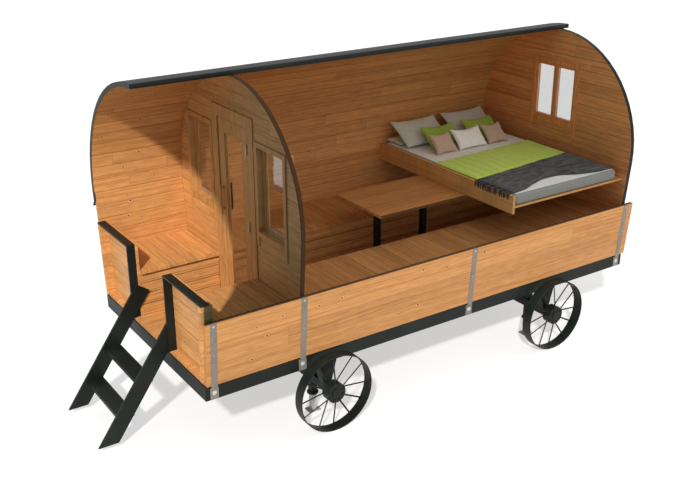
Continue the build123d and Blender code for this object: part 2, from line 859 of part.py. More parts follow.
# --------------------------------------------------------------- running gear
axles = {
    "front_axle": front + front_axle_setback,
    "rear_axle": front + chassis_length - rear_axle_setback,
}
wheel_face = half_width + wheel_outset
hanger_y = half_width - hanger_inset
jack_y = half_width - jack_inset
sleeve_hole = jack_sleeve + 2 * seat_gap
beam_top = axle_height + axle_beam / 2
hub_outer = wheel_face - hub_setback
hub_inner = hub_outer - hub_length
stub_end = wheel_face - stub_setback
axle_beam_length = 2 * (hub_inner - axle_shoulder)
for name, axle_x in axles.items():
    with BuildPart() as axle:
        with BuildSketch(Plane.XZ.offset(-axle_beam_length / 2)):
            with Locations((axle_x, axle_height)):
                Rectangle(axle_beam, axle_beam)
        extrude(amount=axle_beam_length)
        with BuildSketch(Plane.XY.offset(axle_height - axle_beam)):
            with Locations((axle_x, -jack_y), (axle_x, jack_y)):
                Rectangle(sleeve_hole, sleeve_hole)
        extrude(amount=2 * axle_beam, mode=Mode.SUBTRACT)
        with BuildSketch(Plane.XZ.offset(-stub_end)):
            with Locations((axle_x, axle_height)):
                Circle(stub_radius)
        extrude(amount=stub_end - axle_beam_length / 2)
        with BuildSketch(Plane.XZ.offset(stub_end)):
            with Locations((axle_x, axle_height)):
                Circle(stub_radius)
        extrude(amount=-(stub_end - axle_beam_length / 2))
    write(axle, name)

with BuildPart() as axle_hangers:
    for axle_x in axles.values():
        with BuildSketch(Plane.XZ.offset(hanger_y - hanger_width / 2)):
            Polygon(
                [
                    (axle_x - axle_beam / 2, beam_top),
                    (axle_x - axle_beam / 2 - hanger_flare, chassis_bottom),
                    (axle_x + axle_beam / 2 + hanger_flare, chassis_bottom),
                    (axle_x + axle_beam / 2, beam_top),
                ],
                align=None,
            )
        extrude(amount=hanger_width)
    mirror(about=Plane.XZ)
write(axle_hangers, "axle_hangers")

sleeve_height = jack_sleeve_top - jack_sleeve_bottom
jack_leg = jack_sleeve - 2 * jack_sleeve_wall - 2 * jack_slide_gap
with BuildPart() as jack_sleeves:
    with BuildSketch(Plane.XY.offset(jack_sleeve_bottom)):
        with Locations(*[(x, y) for x in axles.values() for y in (-jack_y, jack_y)]):
            Rectangle(jack_sleeve, jack_sleeve)
            Rectangle(
                jack_sleeve - 2 * jack_sleeve_wall,
                jack_sleeve - 2 * jack_sleeve_wall,
                mode=Mode.SUBTRACT,
            )
    extrude(amount=sleeve_height)
write(jack_sleeves, "jack_sleeves")

# Wheels: a flat rim, a hub with a raised cap and rods that cross between them.
rim_middle = wheel_face - wheel_width / 2
spoke_spread = hub_length / 2 - 2 * spoke_radius
for axle_name, axle_x in axles.items():
    for side_name, side in (("near", -1), ("far", 1)):
        wheel_plane = Plane(origin=(axle_x, 0, axle_height), x_dir=(1, 0, 0), z_dir=(0, side, 0))
        with BuildPart() as wheel:
            with BuildSketch(wheel_plane.offset(wheel_face - wheel_width)):
                Circle(wheel_radius)
                Circle(wheel_radius - rim_thickness, mode=Mode.SUBTRACT)
            extrude(amount=wheel_width)
            with BuildSketch(wheel_plane.offset(hub_inner)):
                Circle(hub_radius)
            extrude(amount=hub_length)
            with BuildSketch(wheel_plane.offset(hub_outer)):
                Circle(hub_cap_radius)
            extrude(amount=hub_cap_height)
            for n in range(spoke_count):
                turn = math.radians(360 * n / spoke_count)
                lean_side = 1 if n % 2 else -1
                hub_at = hub_inner + hub_length / 2 + lean_side * spoke_spread
                rim_at = rim_middle - lean_side * wheel_width / 5
                start = wheel_plane.offset(hub_at).from_local_coords(
                    Vector(0.8 * hub_radius * math.cos(turn), 0.8 * hub_radius * math.sin(turn), 0)
                )
                finish = wheel_plane.offset(rim_at).from_local_coords(
                    Vector(
                        (wheel_radius - rim_thickness / 2) * math.cos(turn),
                        (wheel_radius - rim_thickness / 2) * math.sin(turn),
                        0,
                    )
                )
                with BuildSketch(Plane(origin=start, z_dir=finish - start)):
                    RegularPolygon(spoke_radius, 4)
                extrude(amount=(finish - start).length)
            with BuildSketch(wheel_plane.offset(hub_inner)):
                Circle(stub_radius + bearing_gap)
            extrude(amount=stub_end - hub_inner + stub_end_gap, mode=Mode.SUBTRACT)
        write(wheel, axle_name.replace("axle", side_name) + "_wheel")

for axle_name, axle_x in axles.items():
    for side_name, side in (("near", -1), ("far", 1)):
        with BuildPart() as jack:
            with BuildSketch():
                with Locations((axle_x, side * jack_y)):
                    RectangleRounded(foot_length, foot_width, foot_corner)
            extrude(amount=foot_thickness)
            with BuildSketch(Plane.XY.offset(foot_thickness)):
                with Locations((axle_x, side * jack_y)):
                    Rectangle(jack_leg, jack_leg)
                    Rectangle(jack_leg - 2 * jack_leg_wall, jack_leg - 2 * jack_leg_wall, mode=Mode.SUBTRACT)
            extrude(amount=jack_leg_top - foot_thickness)
        write(jack, axle_name.replace("axle", side_name) + "_jack_leg")

# --------------------------------------------------------------------- straps
# Flat galvanised straps tie the side boards down to the chassis.  Each has a
# wider foot that is bent upright onto the side of the chassis.
strap_foot_bottom = chassis_bottom + strap_foot_lift
strap_foot_top = strap_foot_bottom + strap_foot_height
strap_bend_at = chassis_top - strap_bend
far_strap_top = drip_edge - strap_top_gap
strap_positions = (
    strap_end_inset,
    partition_front + partition_thickness / 2,
    strap_middle_x,
    chassis_length - strap_end_inset,
)
for side_name, side, strap_top in (("near", -1, sill_height), ("far", 1, far_strap_top)):
    with BuildPart() as straps:
        with BuildSketch(Plane.YZ.offset(front + strap_positions[0] - strap_width / 2)):
            Polygon(
                [
                    (side * shell_y(strap_foot_top, stave + seat_gap), strap_foot_top),
                    (side * shell_y(strap_top, stave + seat_gap), strap_top),
                    (side * shell_y(strap_top, stave + seat_gap + strap_thickness), strap_top),
                    (side * shell_y(strap_foot_top, stave + seat_gap + strap_thickness), strap_foot_top),
                ],
                align=None,
            )
        extrude(amount=strap_width)
        with BuildSketch(Plane.YZ.offset(front + strap_positions[0] - strap_foot_width / 2)):
            Polygon(
                [
                    (side * (half_width + seat_gap), strap_foot_bottom),
                    (side * (half_width + seat_gap + strap_thickness), strap_foot_bottom),
                    (side * (half_width + seat_gap + strap_thickness), strap_bend_at),
                    (side * shell_y(strap_foot_top, stave + seat_gap + strap_thickness), strap_foot_top),
                    (side * shell_y(strap_foot_top, stave + seat_gap), strap_foot_top),
                    (side * (half_width + seat_gap), strap_bend_at),
                ],
                align=None,
            )
        extrude(amount=strap_foot_width)
        strap = straps.part
        with Locations(*[(x - strap_positions[0], 0, 0) for x in strap_positions[1:]]):
            add(strap)
    write(straps, side_name + "_straps")

# -------------------------------------------------------------------- bedding
mattress_top = bed_base_top + seat_gap + mattress_height


def make_pillow(width, depth, thickness, tilt):
    """One pillow with its edges taken off, tilted, its lowest point at height zero."""
    rounding = pillow_rounding * thickness
    with BuildPart() as pillow:
        Box(width, depth, thickness)
        chamfer(pillow.edges().group_by(Axis.Z)[0], length=rounding)
        chamfer(pillow.edges().group_by(Axis.Z)[-1], length=rounding)
    angle = math.radians(tilt)
    height = max(
        (depth / 2 - rounding) * math.sin(angle) + thickness / 2 * math.cos(angle),
        depth / 2 * math.sin(angle) + (thickness / 2 - rounding) * math.cos(angle),
    )
    return pillow.part.moved(Location((0, 0, height), (tilt, 0, 0)))


laid_pillows = [
    make_pillow(width, depth, thickness, tilt).moved(
        Location((front + mattress_front + x, y, mattress_top + lift), (0, 0, turn))
    )
    for x, y, lift, width, depth, thickness, tilt, turn in pillows_laid_out
]
with BuildPart() as pillows:
    add(laid_pillows)
write(pillows, "pillows")

blanket_start = front + mattress_front + blanket_front
blanket_end = front + mattress_front + mattress_length - blanket_rear
with BuildPart() as blanket:
    with BuildSketch(Plane.XY.offset(mattress_top + seat_gap)):
        Polygon(
            [
                (blanket_start, 170),
                (blanket_end, 250),
                (blanket_end, -330),
                (blanket_start, -480),
            ],
            align=None,
        )
    extrude(amount=blanket_thickness)
write(blanket, "blanket")

with BuildPart() as throw:
    with BuildSketch(Plane.XY.offset(mattress_top + seat_gap)):
        Polygon(
            [
                (blanket_start, -500),
                (blanket_end, -350),
                (blanket_end, -1000),
                (blanket_start + blanket_rear, -1000),
            ],
            align=None,
        )
    extrude(amount=throw_thickness)
write(throw, "throw")
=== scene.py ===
from functools import partial
from math import cos, pi, radians, sin, tan, tau

import bmesh
import bpy
from mathutils import Matrix, Vector, noise


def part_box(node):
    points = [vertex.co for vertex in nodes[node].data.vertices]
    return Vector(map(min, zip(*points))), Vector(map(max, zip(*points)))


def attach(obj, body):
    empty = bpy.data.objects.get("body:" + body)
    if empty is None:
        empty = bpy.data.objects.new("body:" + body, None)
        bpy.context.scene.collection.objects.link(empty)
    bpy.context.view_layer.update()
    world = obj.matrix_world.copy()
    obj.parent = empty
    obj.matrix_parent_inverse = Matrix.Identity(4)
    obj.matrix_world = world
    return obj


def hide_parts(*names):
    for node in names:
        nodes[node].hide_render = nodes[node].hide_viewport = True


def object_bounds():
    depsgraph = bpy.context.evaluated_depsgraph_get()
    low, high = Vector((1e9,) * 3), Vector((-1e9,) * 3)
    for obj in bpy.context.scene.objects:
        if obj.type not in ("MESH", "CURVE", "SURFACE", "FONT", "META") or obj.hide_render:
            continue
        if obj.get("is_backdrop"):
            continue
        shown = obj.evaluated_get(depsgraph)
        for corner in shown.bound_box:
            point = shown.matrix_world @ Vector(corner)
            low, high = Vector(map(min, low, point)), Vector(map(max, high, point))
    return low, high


# A covered wagon: a steel chassis on spoked wheels that carries a half-open
# barrel shell of pine, with a porch, a cabin, and a made bed inside.
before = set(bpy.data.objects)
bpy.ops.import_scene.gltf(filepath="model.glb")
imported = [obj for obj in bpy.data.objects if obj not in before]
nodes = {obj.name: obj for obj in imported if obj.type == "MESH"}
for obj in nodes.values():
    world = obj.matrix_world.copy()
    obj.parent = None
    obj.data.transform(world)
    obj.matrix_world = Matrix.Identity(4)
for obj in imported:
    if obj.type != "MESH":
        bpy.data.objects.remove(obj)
cad_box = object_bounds()
scene = bpy.context.scene
scene.view_settings.view_transform = "Standard"

# ------------------------------------------------------------ floor and light
# A pale studio floor under a white sky. The lamps stay at a plain level: one
# broad sun from the porch end and the open side, and the sky as the fill.


def feed(tree, socket, value):
    """Links a socket to another one or sets it; a colour may leave out its alpha."""
    if isinstance(value, bpy.types.NodeSocket):
        tree.links.new(value, socket)
    elif hasattr(value, "__len__") and len(value) < len(socket.default_value):
        socket.default_value = (*value, 1)
    else:
        socket.default_value = value


def place(tree, kind, settings=None, **sockets):
    """One shader node, with its settings and its sockets set or linked."""
    node = tree.nodes.new("ShaderNode" + kind)
    for key, value in (settings or {}).items():
        setattr(node, key, value)
    for key, value in sockets.items():
        feed(tree, node.inputs[key.replace("_", " ")], value)
    return node


def calc(tree, operation, *values):
    """The result of one maths node; each value is a number or a socket."""
    node = place(tree, "Math", {"operation": operation})
    for socket, value in zip(node.inputs, values):
        feed(tree, socket, value)
    return node.outputs[0]


def tint(tree, factor, first, second, mode="MIX"):
    """Two colours mixed by a factor; each is a colour or a socket."""
    node = place(tree, "Mix", {"data_type": "RGBA", "blend_type": mode})
    for number, value in ((0, factor), (6, first), (7, second)):
        feed(tree, node.inputs[number], value)
    return node.outputs[2]


def ramp(tree, value, low, high):
    """A smooth step of a value from 0 at low to 1 at high."""
    settings = {"interpolation_type": "SMOOTHSTEP"}
    return place(tree, "MapRange", settings, Value=value, From_Min=low, From_Max=high).outputs["Result"]


def split(tree, vector):
    """The three parts of a vector."""
    return place(tree, "SeparateXYZ", Vector=vector).outputs


def new_material(name):
    """An empty node material and the socket of its output."""
    material = bpy.data.materials.new(name)
    material.use_nodes = True
    material.node_tree.nodes.clear()
    output = place(material.node_tree, "OutputMaterial")
    return material, material.node_tree, output.inputs["Surface"]


def studio_object(name, shape, material):
    """Makes something of the studio, which is no piece of the wagon, from a bmesh."""
    data = bpy.data.meshes.new(name)
    shape.to_mesh(data)
    shape.free()
    data.materials.append(material)
    made = bpy.data.objects.new(name, data)
    scene.collection.objects.link(made)
    return made


def background_rays(tree):
    """1 for the rays that show the background: seen directly, in a gloss, or through glass."""
    rays = place(tree, "LightPath").outputs
    seen = calc(tree, "MAXIMUM", rays["Is Camera Ray"], rays["Is Glossy Ray"])
    return calc(tree, "MAXIMUM", seen, rays["Is Transmission Ray"])


floor_share = 0.55          # of the floor's look that is plain white background
floor_seen = (0.93, 0.93, 0.93)
floor_fill = (0.40, 0.40, 0.40)     # how bright the floor is to the wagon's underside
floor_reach = 60
floor_drop = 0.001          # keeps the floor just under the wheels
floor_paint, tree, surface = new_material("studio_floor")
background = background_rays(tree)
floor_colour = tint(tree, background, floor_fill, floor_seen)
matt = place(tree, "BsdfPrincipled", Base_Color=floor_colour, Roughness=0.9, Specular_IOR_Level=0)
white = place(tree, "Emission", Color=(1, 1, 1), Strength=1.0)
mixed = place(tree, "MixShader", Fac=calc(tree, "MULTIPLY", background, floor_share))
tree.links.new(matt.outputs[0], mixed.inputs[1])
tree.links.new(white.outputs[0], mixed.inputs[2])
tree.links.new(mixed.outputs[0], surface)
floor_mesh = bmesh.new()
bmesh.ops.create_grid(floor_mesh, x_segments=1, y_segments=1, size=floor_reach)
bmesh.ops.translate(floor_mesh, verts=floor_mesh.verts, vec=(0, 0, -floor_drop))
studio_floor = studio_object("studio_floor", floor_mesh, floor_paint)
studio_floor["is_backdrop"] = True

sky_fill = (0.90, 0.86, 0.84)
porch_sky = (0.45, 0.44, 0.44)      # dimmer, over the porch's half of the sky
porch_patch = (0.16, 0.46, 0.58)    # and cool, straight ahead of the porch
world = bpy.data.worlds.new("studio_sky")
scene.world = world
world.use_nodes = True
tree = world.node_tree
tree.nodes.clear()
seen = background_rays(tree)
heading = split(tree, place(tree, "TexCoord").outputs["Generated"])[0]
towards_porch = calc(tree, "MULTIPLY", heading, -1.0)
fill = tint(tree, ramp(tree, towards_porch, -0.1, 0.6), sky_fill, porch_sky)
fill = tint(tree, ramp(tree, towards_porch, 0.6, 0.9), fill, porch_patch)
sky = place(tree, "Background", Color=tint(tree, seen, fill, (1, 1, 1)), Strength=1.0)
tree.links.new(sky.outputs[0], place(tree, "OutputWorld").inputs[0])

sun_data = bpy.data.lights.new("broad_sun", "SUN")
sun_data.energy = 3.8
sun_data.angle = radians(3)
sun_data.color = (1, 0.97, 0.92)
broad_sun = bpy.data.objects.new("broad_sun", sun_data)
sun_aim = Vector((0.826, 0.943, -1))
broad_sun.rotation_euler = sun_aim.to_track_quat("-Z", "Y").to_euler()
scene.collection.objects.link(broad_sun)

# The roof's near half is cut away only for the eye, so studio flags of its
# shape stand in for it. Both stop the sun. The porch's flag stops the sky too
# and gives back a faint cool glow, since the porch's shade is deeper and cooler.
shell_front, shell_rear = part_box("roof_covering")[0][0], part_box("roof_covering")[1][0]
partition_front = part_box("partition")[0][0]
roof_radius = 1.132
roof_centre = 1.905                 # the height of the barrel's axis
sill = 1.363                        # the height at which the near wall ends
lean = radians(4.46)                # of the side walls, outwards
flag_radius = roof_radius + 0.02    # just outside the staves
flag_steps = 40
flag_glow = (0.05, 0.15, 0.21)
flag_cloth, tree, surface = new_material("studio_flag")
glow = place(tree, "Emission", Color=flag_glow, Strength=1.0)
tree.links.new(glow.outputs[0], surface)


def points_in(geometry):
    """The vertices among the parts that an operator gives back."""
    return [part for part in geometry if isinstance(part, bmesh.types.BMVert)]


for name, front, rear, hidden in (
    ("porch_flag", shell_front, partition_front, ("camera", "glossy", "transmission")),
    ("cabin_flag", partition_front, shell_rear, ("camera", "diffuse", "glossy", "transmission")),
):
    flag_mesh = bmesh.new()
    brow = Vector((front, -flag_radius * cos(lean), roof_centre - flag_radius * sin(lean)))
    starts = [flag_mesh.verts.new(brow), flag_mesh.verts.new(brow + Vector((rear - front, 0, 0)))]
    eaves = flag_mesh.edges.new(starts)
    wall = bmesh.ops.extrude_edge_only(flag_mesh, edges=[eaves])["geom"]
    down = Vector((0, tan(lean), -1)) * (brow.z - sill)
    bmesh.ops.translate(flag_mesh, verts=points_in(wall), vec=down)
    bmesh.ops.spin(
        flag_mesh,
        geom=[*starts, eaves],
        cent=(0, 0, roof_centre),
        axis=(-1, 0, 0),
        angle=pi / 2 + lean,
        steps=flag_steps,
    )
    flag = studio_object(name, flag_mesh, flag_cloth)
    for ray in hidden:
        setattr(flag, "visible_" + ray, False)
    flag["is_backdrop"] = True

# The camera stands off the porch end's near corner and looks down into the shell.
camera_data = bpy.data.cameras.new("camera")
camera_data.lens = 49.65
camera_data.sensor_width = 36
camera = bpy.data.objects.new("camera", camera_data)
camera.location = (-5.0365, -7.383, 4.875)
look_at = Vector((1.9073, 2.7755, -0.3079))
camera.rotation_euler = (look_at - camera.location).to_track_quat("-Z", "Y").to_euler()
scene.collection.objects.link(camera)
scene.camera = camera

# -------------------------------------------------------------------- chassis
# Welded channel and square tube, painted satin black, with the paint's fine
# orange peel and patches where it is rubbed a little paler. No rust.


def object_spot(tree):
    """The shaded point, in metres from the wagon's origin."""
    return place(tree, "TexCoord").outputs["Object"]


def speckle(tree, spot, scale, detail):
    """Soft noise from 0 to 1; a larger scale is finer."""
    return place(tree, "TexNoise", Vector=spot, Scale=scale, Detail=detail).outputs["Fac"]


def embossed(tree, height, strength, depth):
    """The normals of a surface with a relief, whose depth is in metres."""
    return place(tree, "Bump", Strength=strength, Distance=depth, Height=height).outputs[0]


def principled(tree, surface, **sockets):
    """The shader of a material, wired to its output."""
    tree.links.new(place(tree, "BsdfPrincipled", **sockets).outputs[0], surface)


def coat(names, material):
    """Gives CAD nodes a finished material."""
    for name in names:
        data = nodes[name].data
        data.materials.clear()
        data.materials.append(material)


wagon_corners = [f"{end}_{side}" for end in ("front", "rear") for side in ("near", "far")]
paint_black = (0.0055, 0.0085, 0.0068)
paint_rubbed = (0.012, 0.016, 0.0135)
black_steel, tree, surface = new_material("black_steel")
spot = object_spot(tree)
mottle = speckle(tree, spot, 3.1, 4.0)
orange_peel = speckle(tree, spot, 420.0, 1.0)
principled(
    tree,
    surface,
    Base_Color=tint(tree, ramp(tree, mottle, 0.45, 0.75), paint_black, paint_rubbed),
    Roughness=calc(tree, "MULTIPLY_ADD", mottle, 0.25, 0.38),
    Specular_IOR_Level=0.22,
    Normal=embossed(tree, orange_peel, 0.15, 0.0006),
)
coat(["side_rails", "end_beams", "floor_joists", "axle_hangers", "jack_sleeves"], black_steel)
coat(["front_axle", "rear_axle"] + [f"{corner}_wheel" for corner in wagon_corners], black_steel)
coat(["porch_rails", "stair_stringers", "stair_treads", "table_legs"], black_steel)

# ----------------------------------------------------------------- pine boards
# Planed pine with its rings, pin knots and tight joints. The group takes a
# vector of metres: along the grain, across the boards, and through them.


def group_tree(name, inputs, outputs):
    """A shader node group with named sockets, and its input and output nodes."""
    group = bpy.data.node_groups.new(name, "ShaderNodeTree")
    for label, kind, value in inputs:
        socket = group.interface.new_socket(label, in_out="INPUT", socket_type="NodeSocket" + kind)
        if value is not None:
            socket.default_value = value
    for label, kind in outputs:
        group.interface.new_socket(label, in_out="OUTPUT", socket_type="NodeSocket" + kind)
    return group, group.nodes.new("NodeGroupInput").outputs, group.nodes.new("NodeGroupOutput").inputs


def joined(tree, x, y, z):
    """A vector of three parts."""
    return place(tree, "CombineXYZ", X=x, Y=y, Z=z).outputs[0]


def chance(tree, seed):
    """An even random value from 0 to 1, the same for the same seed."""
    return place(tree, "TexWhiteNoise", {"noise_dimensions": "1D"}, W=seed).outputs["Value"]


def grey(tree, level):
    """A colour with one level in all three channels."""
    return place(tree, "CombineColor", Red=level, Green=level, Blue=level).outputs[0]


def remainder(tree, share):
    """What is left of 1."""
    return calc(tree, "SUBTRACT", 1.0, share)


def hypotenuse(tree, first, second):
    """The length of a step made of two parts at right angles."""
    squares = calc(tree, "ADD", calc(tree, "MULTIPLY", first, first), calc(tree, "MULTIPLY", second, second))
    return calc(tree, "SQRT", squares)


pine_grain, given, wanted = group_tree(
    "pine_grain",
    [
        ("Vector", "Vector", None),
        ("Board Width", "Float", 0.12),
        ("Board Shift", "Float", 0.0),
        ("Board Length", "Float", 2.4),
        ("Joint", "Float", 0.003),
        ("Seed", "Float", 0.0),
    ],
    [("Color", "Color"), ("Roughness", "Float"), ("Height", "Float")],
)
# The helpers for this group alone; scaled(a, b, c) is a times b, plus c.
reckon, blend, rise_of, less = (partial(helper, pine_grain) for helper in (calc, tint, ramp, remainder))
times, over, scaled = (partial(reckon, operation) for operation in ("MULTIPLY", "DIVIDE", "MULTIPLY_ADD"))
parts = split(pine_grain, given["Vector"])
row = reckon("ADD", over(parts[1], given["Board Width"]), given["Board Shift"])
board = reckon("FLOOR", row)
across = reckon("SUBTRACT", row, board)
board_seed = scaled(board, 1.37, given["Seed"])
luck = chance(pine_grain, board_seed)
along = scaled(luck, 7.3, parts[0])
plank = over(along, given["Board Length"])
plank_number = reckon("FLOOR", plank)
plank_seed = scaled(plank_number, 3.71, board_seed)
tone = chance(pine_grain, plank_seed)

# Knots sit in a loose net of cells, one or none to a cell.
knot_pitch = 0.30
bare_cells = 0.25           # the share of cells without a knot
knot_smallest, knot_growth = 0.003, 0.007
knot_spot = joined(pine_grain, over(along, knot_pitch), row, times(tone, 9.0))
net = place(pine_grain, "TexVoronoi", {"voronoi_dimensions": "2D"}, Vector=knot_spot, Scale=1.0)
offset = place(pine_grain, "VectorMath", {"operation": "SUBTRACT"})
pine_grain.links.new(knot_spot, offset.inputs[0])
pine_grain.links.new(net.outputs["Position"], offset.inputs[1])
apart = split(pine_grain, offset.outputs[0])
knot_x = times(apart[0], knot_pitch * 0.75)
knot_y = times(apart[1], given["Board Width"])
lots = place(pine_grain, "SeparateColor", Color=net.outputs["Color"]).outputs
knot_there = reckon("GREATER_THAN", lots[0], bare_cells)
knot_radius = scaled(lots[1], knot_growth, knot_smallest)
knot_ratio = over(hypotenuse(pine_grain, knot_x, knot_y), knot_radius)
knot, rim, halo = (
    times(less(rise_of(knot_ratio, inner, outer)), knot_there)
    for inner, outer in ((0.55, 1.15), (1.3, 2.6), (0.8, 4.5))
)
# The rings run along the board and part round each knot.
parted = scaled(times(halo, knot_y), -0.8, parts[1])


def streaks(side, along_rate, across_rate, deep=False, **settings):
    """Noise drawn out along a board; the rates are changes a metre, along and across it."""
    through = scaled(parts[2], across_rate, plank_seed) if deep else plank_seed
    x, y = times(along, along_rate), times(side, across_rate)
    place_at = joined(pine_grain, x, y, through)
    return place(pine_grain, "TexNoise", Vector=place_at, Scale=1.0, **settings).outputs["Fac"]


sway = streaks(parts[1], 0.9, 4.0, Detail=1.0)
swayed = scaled(sway, 0.055, parted)
rings = streaks(swayed, 0.35, 46.0, deep=True, Detail=2.5, Roughness=0.55)
fibre = streaks(swayed, 5.0, 320.0, deep=True, Detail=2.0)
flame = streaks(swayed, 7.0, 38.0, Detail=2.0)

# Pale early wood, darker late wood, amber round the knots, brown knots with a
# pale rim, short flames of lighter and darker wood, and a dark line at a joint.
pine_pale = (0.65, 0.310, 0.106)
pine_late = (0.485, 0.187, 0.049)
pine_amber = (0.50, 0.180, 0.039)
pine_knot = (0.10, 0.028, 0.009)
pine_rim = (0.95, 0.60, 0.30)
pine_joint = (0.10, 0.036, 0.010)
wood = blend(times(rise_of(rings, 0.42, 0.72), 0.75), pine_pale, pine_late)
wood = blend(times(rise_of(fibre, 0.5, 0.8), 0.25), wood, pine_late)
wood = blend(times(halo, 0.45), wood, pine_amber)
wood = blend(times(rim, 0.35), wood, pine_rim)
shade = scaled(flame, 0.56, scaled(tone, 0.22, 0.58))
wood = blend(1.0, wood, grey(pine_grain, shade), "MULTIPLY")
wood = blend(knot, wood, pine_knot)


def edge_distance(share, length):
    """Metres to the nearer edge; share runs from 0 at one edge to 1 at the other."""
    return times(reckon("MINIMUM", share, less(share)), length)


end_joint_width = 0.0022
side_edge = edge_distance(across, given["Board Width"])
end_edge = edge_distance(reckon("SUBTRACT", plank, plank_number), given["Board Length"])
side_joint = less(reckon("SMOOTH_MIN", over(side_edge, given["Joint"]), 1.0, 0.3))
end_joint = less(reckon("MINIMUM", over(end_edge, end_joint_width), 1.0))
joint = reckon("MAXIMUM", reckon("MAXIMUM", side_joint, times(end_joint, 0.7)), 0.0)
height = scaled(fibre, 0.12, times(rings, 0.18))
pine_grain.links.new(blend(times(joint, 0.9), wood, pine_joint), wanted["Color"])
pine_grain.links.new(scaled(rings, 0.16, 0.40), wanted["Roughness"])
pine_grain.links.new(scaled(joint, -1.0, height), wanted["Height"])

chassis_top = 0.776
flank = (roof_centre - roof_radius * sin(lean) - chassis_top) / cos(lean)
stave_count = 15
stave_width = roof_radius * (pi / 2 + lean) / stave_count


def shell_path(tree):
    """Along the wagon, up round the shell from the chassis, and through the staves."""
    axes = split(tree, object_spot(tree))
    side = calc(tree, "ABSOLUTE", axes[1])
    rise = calc(tree, "SUBTRACT", axes[2], roof_centre)
    angle = calc(tree, "ARCTAN2", rise, side)
    arc = calc(tree, "GREATER_THAN", angle, -lean)
    flat = remainder(tree, arc)
    arc_up = calc(tree, "MULTIPLY_ADD", calc(tree, "ADD", angle, lean), roof_radius, flank)
    flat_up = calc(tree, "DIVIDE", calc(tree, "SUBTRACT", axes[2], chassis_top), cos(lean))
    up = calc(tree, "MULTIPLY_ADD", arc_up, arc, calc(tree, "MULTIPLY", flat_up, flat))
    arc_out = hypotenuse(tree, rise, side)
    flat_out = calc(tree, "MULTIPLY_ADD", side, cos(lean), calc(tree, "MULTIPLY", rise, -sin(lean)))
    out = calc(tree, "MULTIPLY_ADD", arc_out, arc, calc(tree, "MULTIPLY", flat_out, flat))
    return joined(tree, axes[0], up, out)


# Painted shade: the dark brown of the partition's rim and of the near wall's cut top, where shade falls.
painted_shade_brown = (0.085, 0.042, 0.017)


def pine(
    name, lay, width=0.12, shift=0.0, length=2.4, joint=0.003, seed=0.0,
    stain_and_shade=(1, 1, 1), painted_shade_rim=False, painted_shade_above=None,
):
    """A pine material.

    lay names the axes along, across and through the boards, or is a function
    that makes that vector. A rim of painted shade follows the shell's outer edge,
    and painted shade also darkens the faces above a given height.
    """
    material, tree, surface = new_material(name)
    if callable(lay):
        vector = lay(tree)
    else:
        axes = split(tree, object_spot(tree))
        vector = joined(tree, *(axes["XYZ".index(axis)] for axis in lay))
    grain = place(
        tree,
        "Group",
        {"node_tree": pine_grain},
        Vector=vector,
        Board_Width=width,
        Board_Shift=shift,
        Board_Length=length,
        Joint=joint,
        Seed=seed,
    ).outputs
    colour, roughness = tint(tree, 1.0, grain["Color"], stain_and_shade, "MULTIPLY"), grain["Roughness"]
    # Painted shade: bands at the shell's outer rim and above a given height are darkened and made dull.
    edges = []
    if painted_shade_rim:
        reach = split(tree, shell_path(tree))[2]
        edges.append(ramp(tree, reach, roof_radius - 0.004, roof_radius - 0.002))
    if painted_shade_above:
        level = split(tree, object_spot(tree))[2]
        edges.append(ramp(tree, level, painted_shade_above - 0.002, painted_shade_above))
    for edge in edges:
        colour = tint(tree, edge, colour, painted_shade_brown)
        roughness = calc(tree, "MAXIMUM", roughness, edge)
    relief = embossed(tree, grain["Height"], 0.5, 0.002)
    principled(tree, surface, Base_Color=colour, Roughness=roughness, Specular_IOR_Level=0.3, Normal=relief)
    return material


near_side_pine = pine(
    "pine_near_side",
    shell_path,
    width=flank / 6,
    length=9,
    joint=0.0012,
    seed=14,
    # painted shade: the near side is darker than the same pine elsewhere, to hold back the light that falls
    # on it
    stain_and_shade=(0.79, 0.80, 0.81),
    # painted shade on the near wall's cut top, above the sill
    painted_shade_above=sill - 0.001,
)
slat_width = 0.107
slat_top = 1.257            # the height of a joint between two slats
coat(["floor_boards"], pine("pine_floor", "XYZ", width=0.131, shift=0.5, seed=3))
coat(["far_side_boards"], pine("pine_side", shell_path, width=flank / 8, seed=11))
coat(["near_side_boards"], near_side_pine)
coat(["roof_staves"], pine("pine_staves", shell_path, width=stave_width, shift=-flank / stave_width, seed=23))
coat(["partition"], pine("pine_partition", "YZX", width=0.121, seed=5, painted_shade_rim=True))
coat(["rear_wall"], pine("pine_rear_wall", "YZX", width=0.121, seed=8, stain_and_shade=(1.18, 1.02, 0.98)))
coat(["porch_panels"], pine("pine_panels", "YZX", width=0.121, seed=2))
joinery = pine("pine_joinery", "ZYX", width=3, length=9, seed=4)
coat(["window_sashes", "door_frame", "door_leaf", "door_handle"], joinery)
rear_frame_pine = pine("pine_rear_frame", "ZYX", width=3, length=9, seed=4, stain_and_shade=(1.35, 1.10, 0.98))
coat(["rear_window_frame"], rear_frame_pine)
coat(["porch_bench_seats"], pine("pine_porch_seats", "YXZ", width=0.1, seed=6))
# Painted shade: the cabin's seats are a little darker than the porch's, for the shade that falls on them.
coat(["cabin_bench_seats"], pine("pine_cabin_seats", "YXZ", width=0.1, seed=6, stain_and_shade=(0.82, 0.84, 0.84)))
slat_pine = pine("pine_slats", "XZY", width=slat_width, shift=-slat_top / slat_width, seed=7)
coat(["porch_bench_fronts", "cabin_bench_fronts"], slat_pine)
coat(["table_top"], pine("pine_table", "XYZ", width=0.128, length=9, seed=9, stain_and_shade=(0.88, 0.89, 0.86)))
coat(["bed_frame"], pine("pine_bed", "YXZ", width=9, length=9, seed=12, stain_and_shade=(1.12, 1.3, 1.3)))

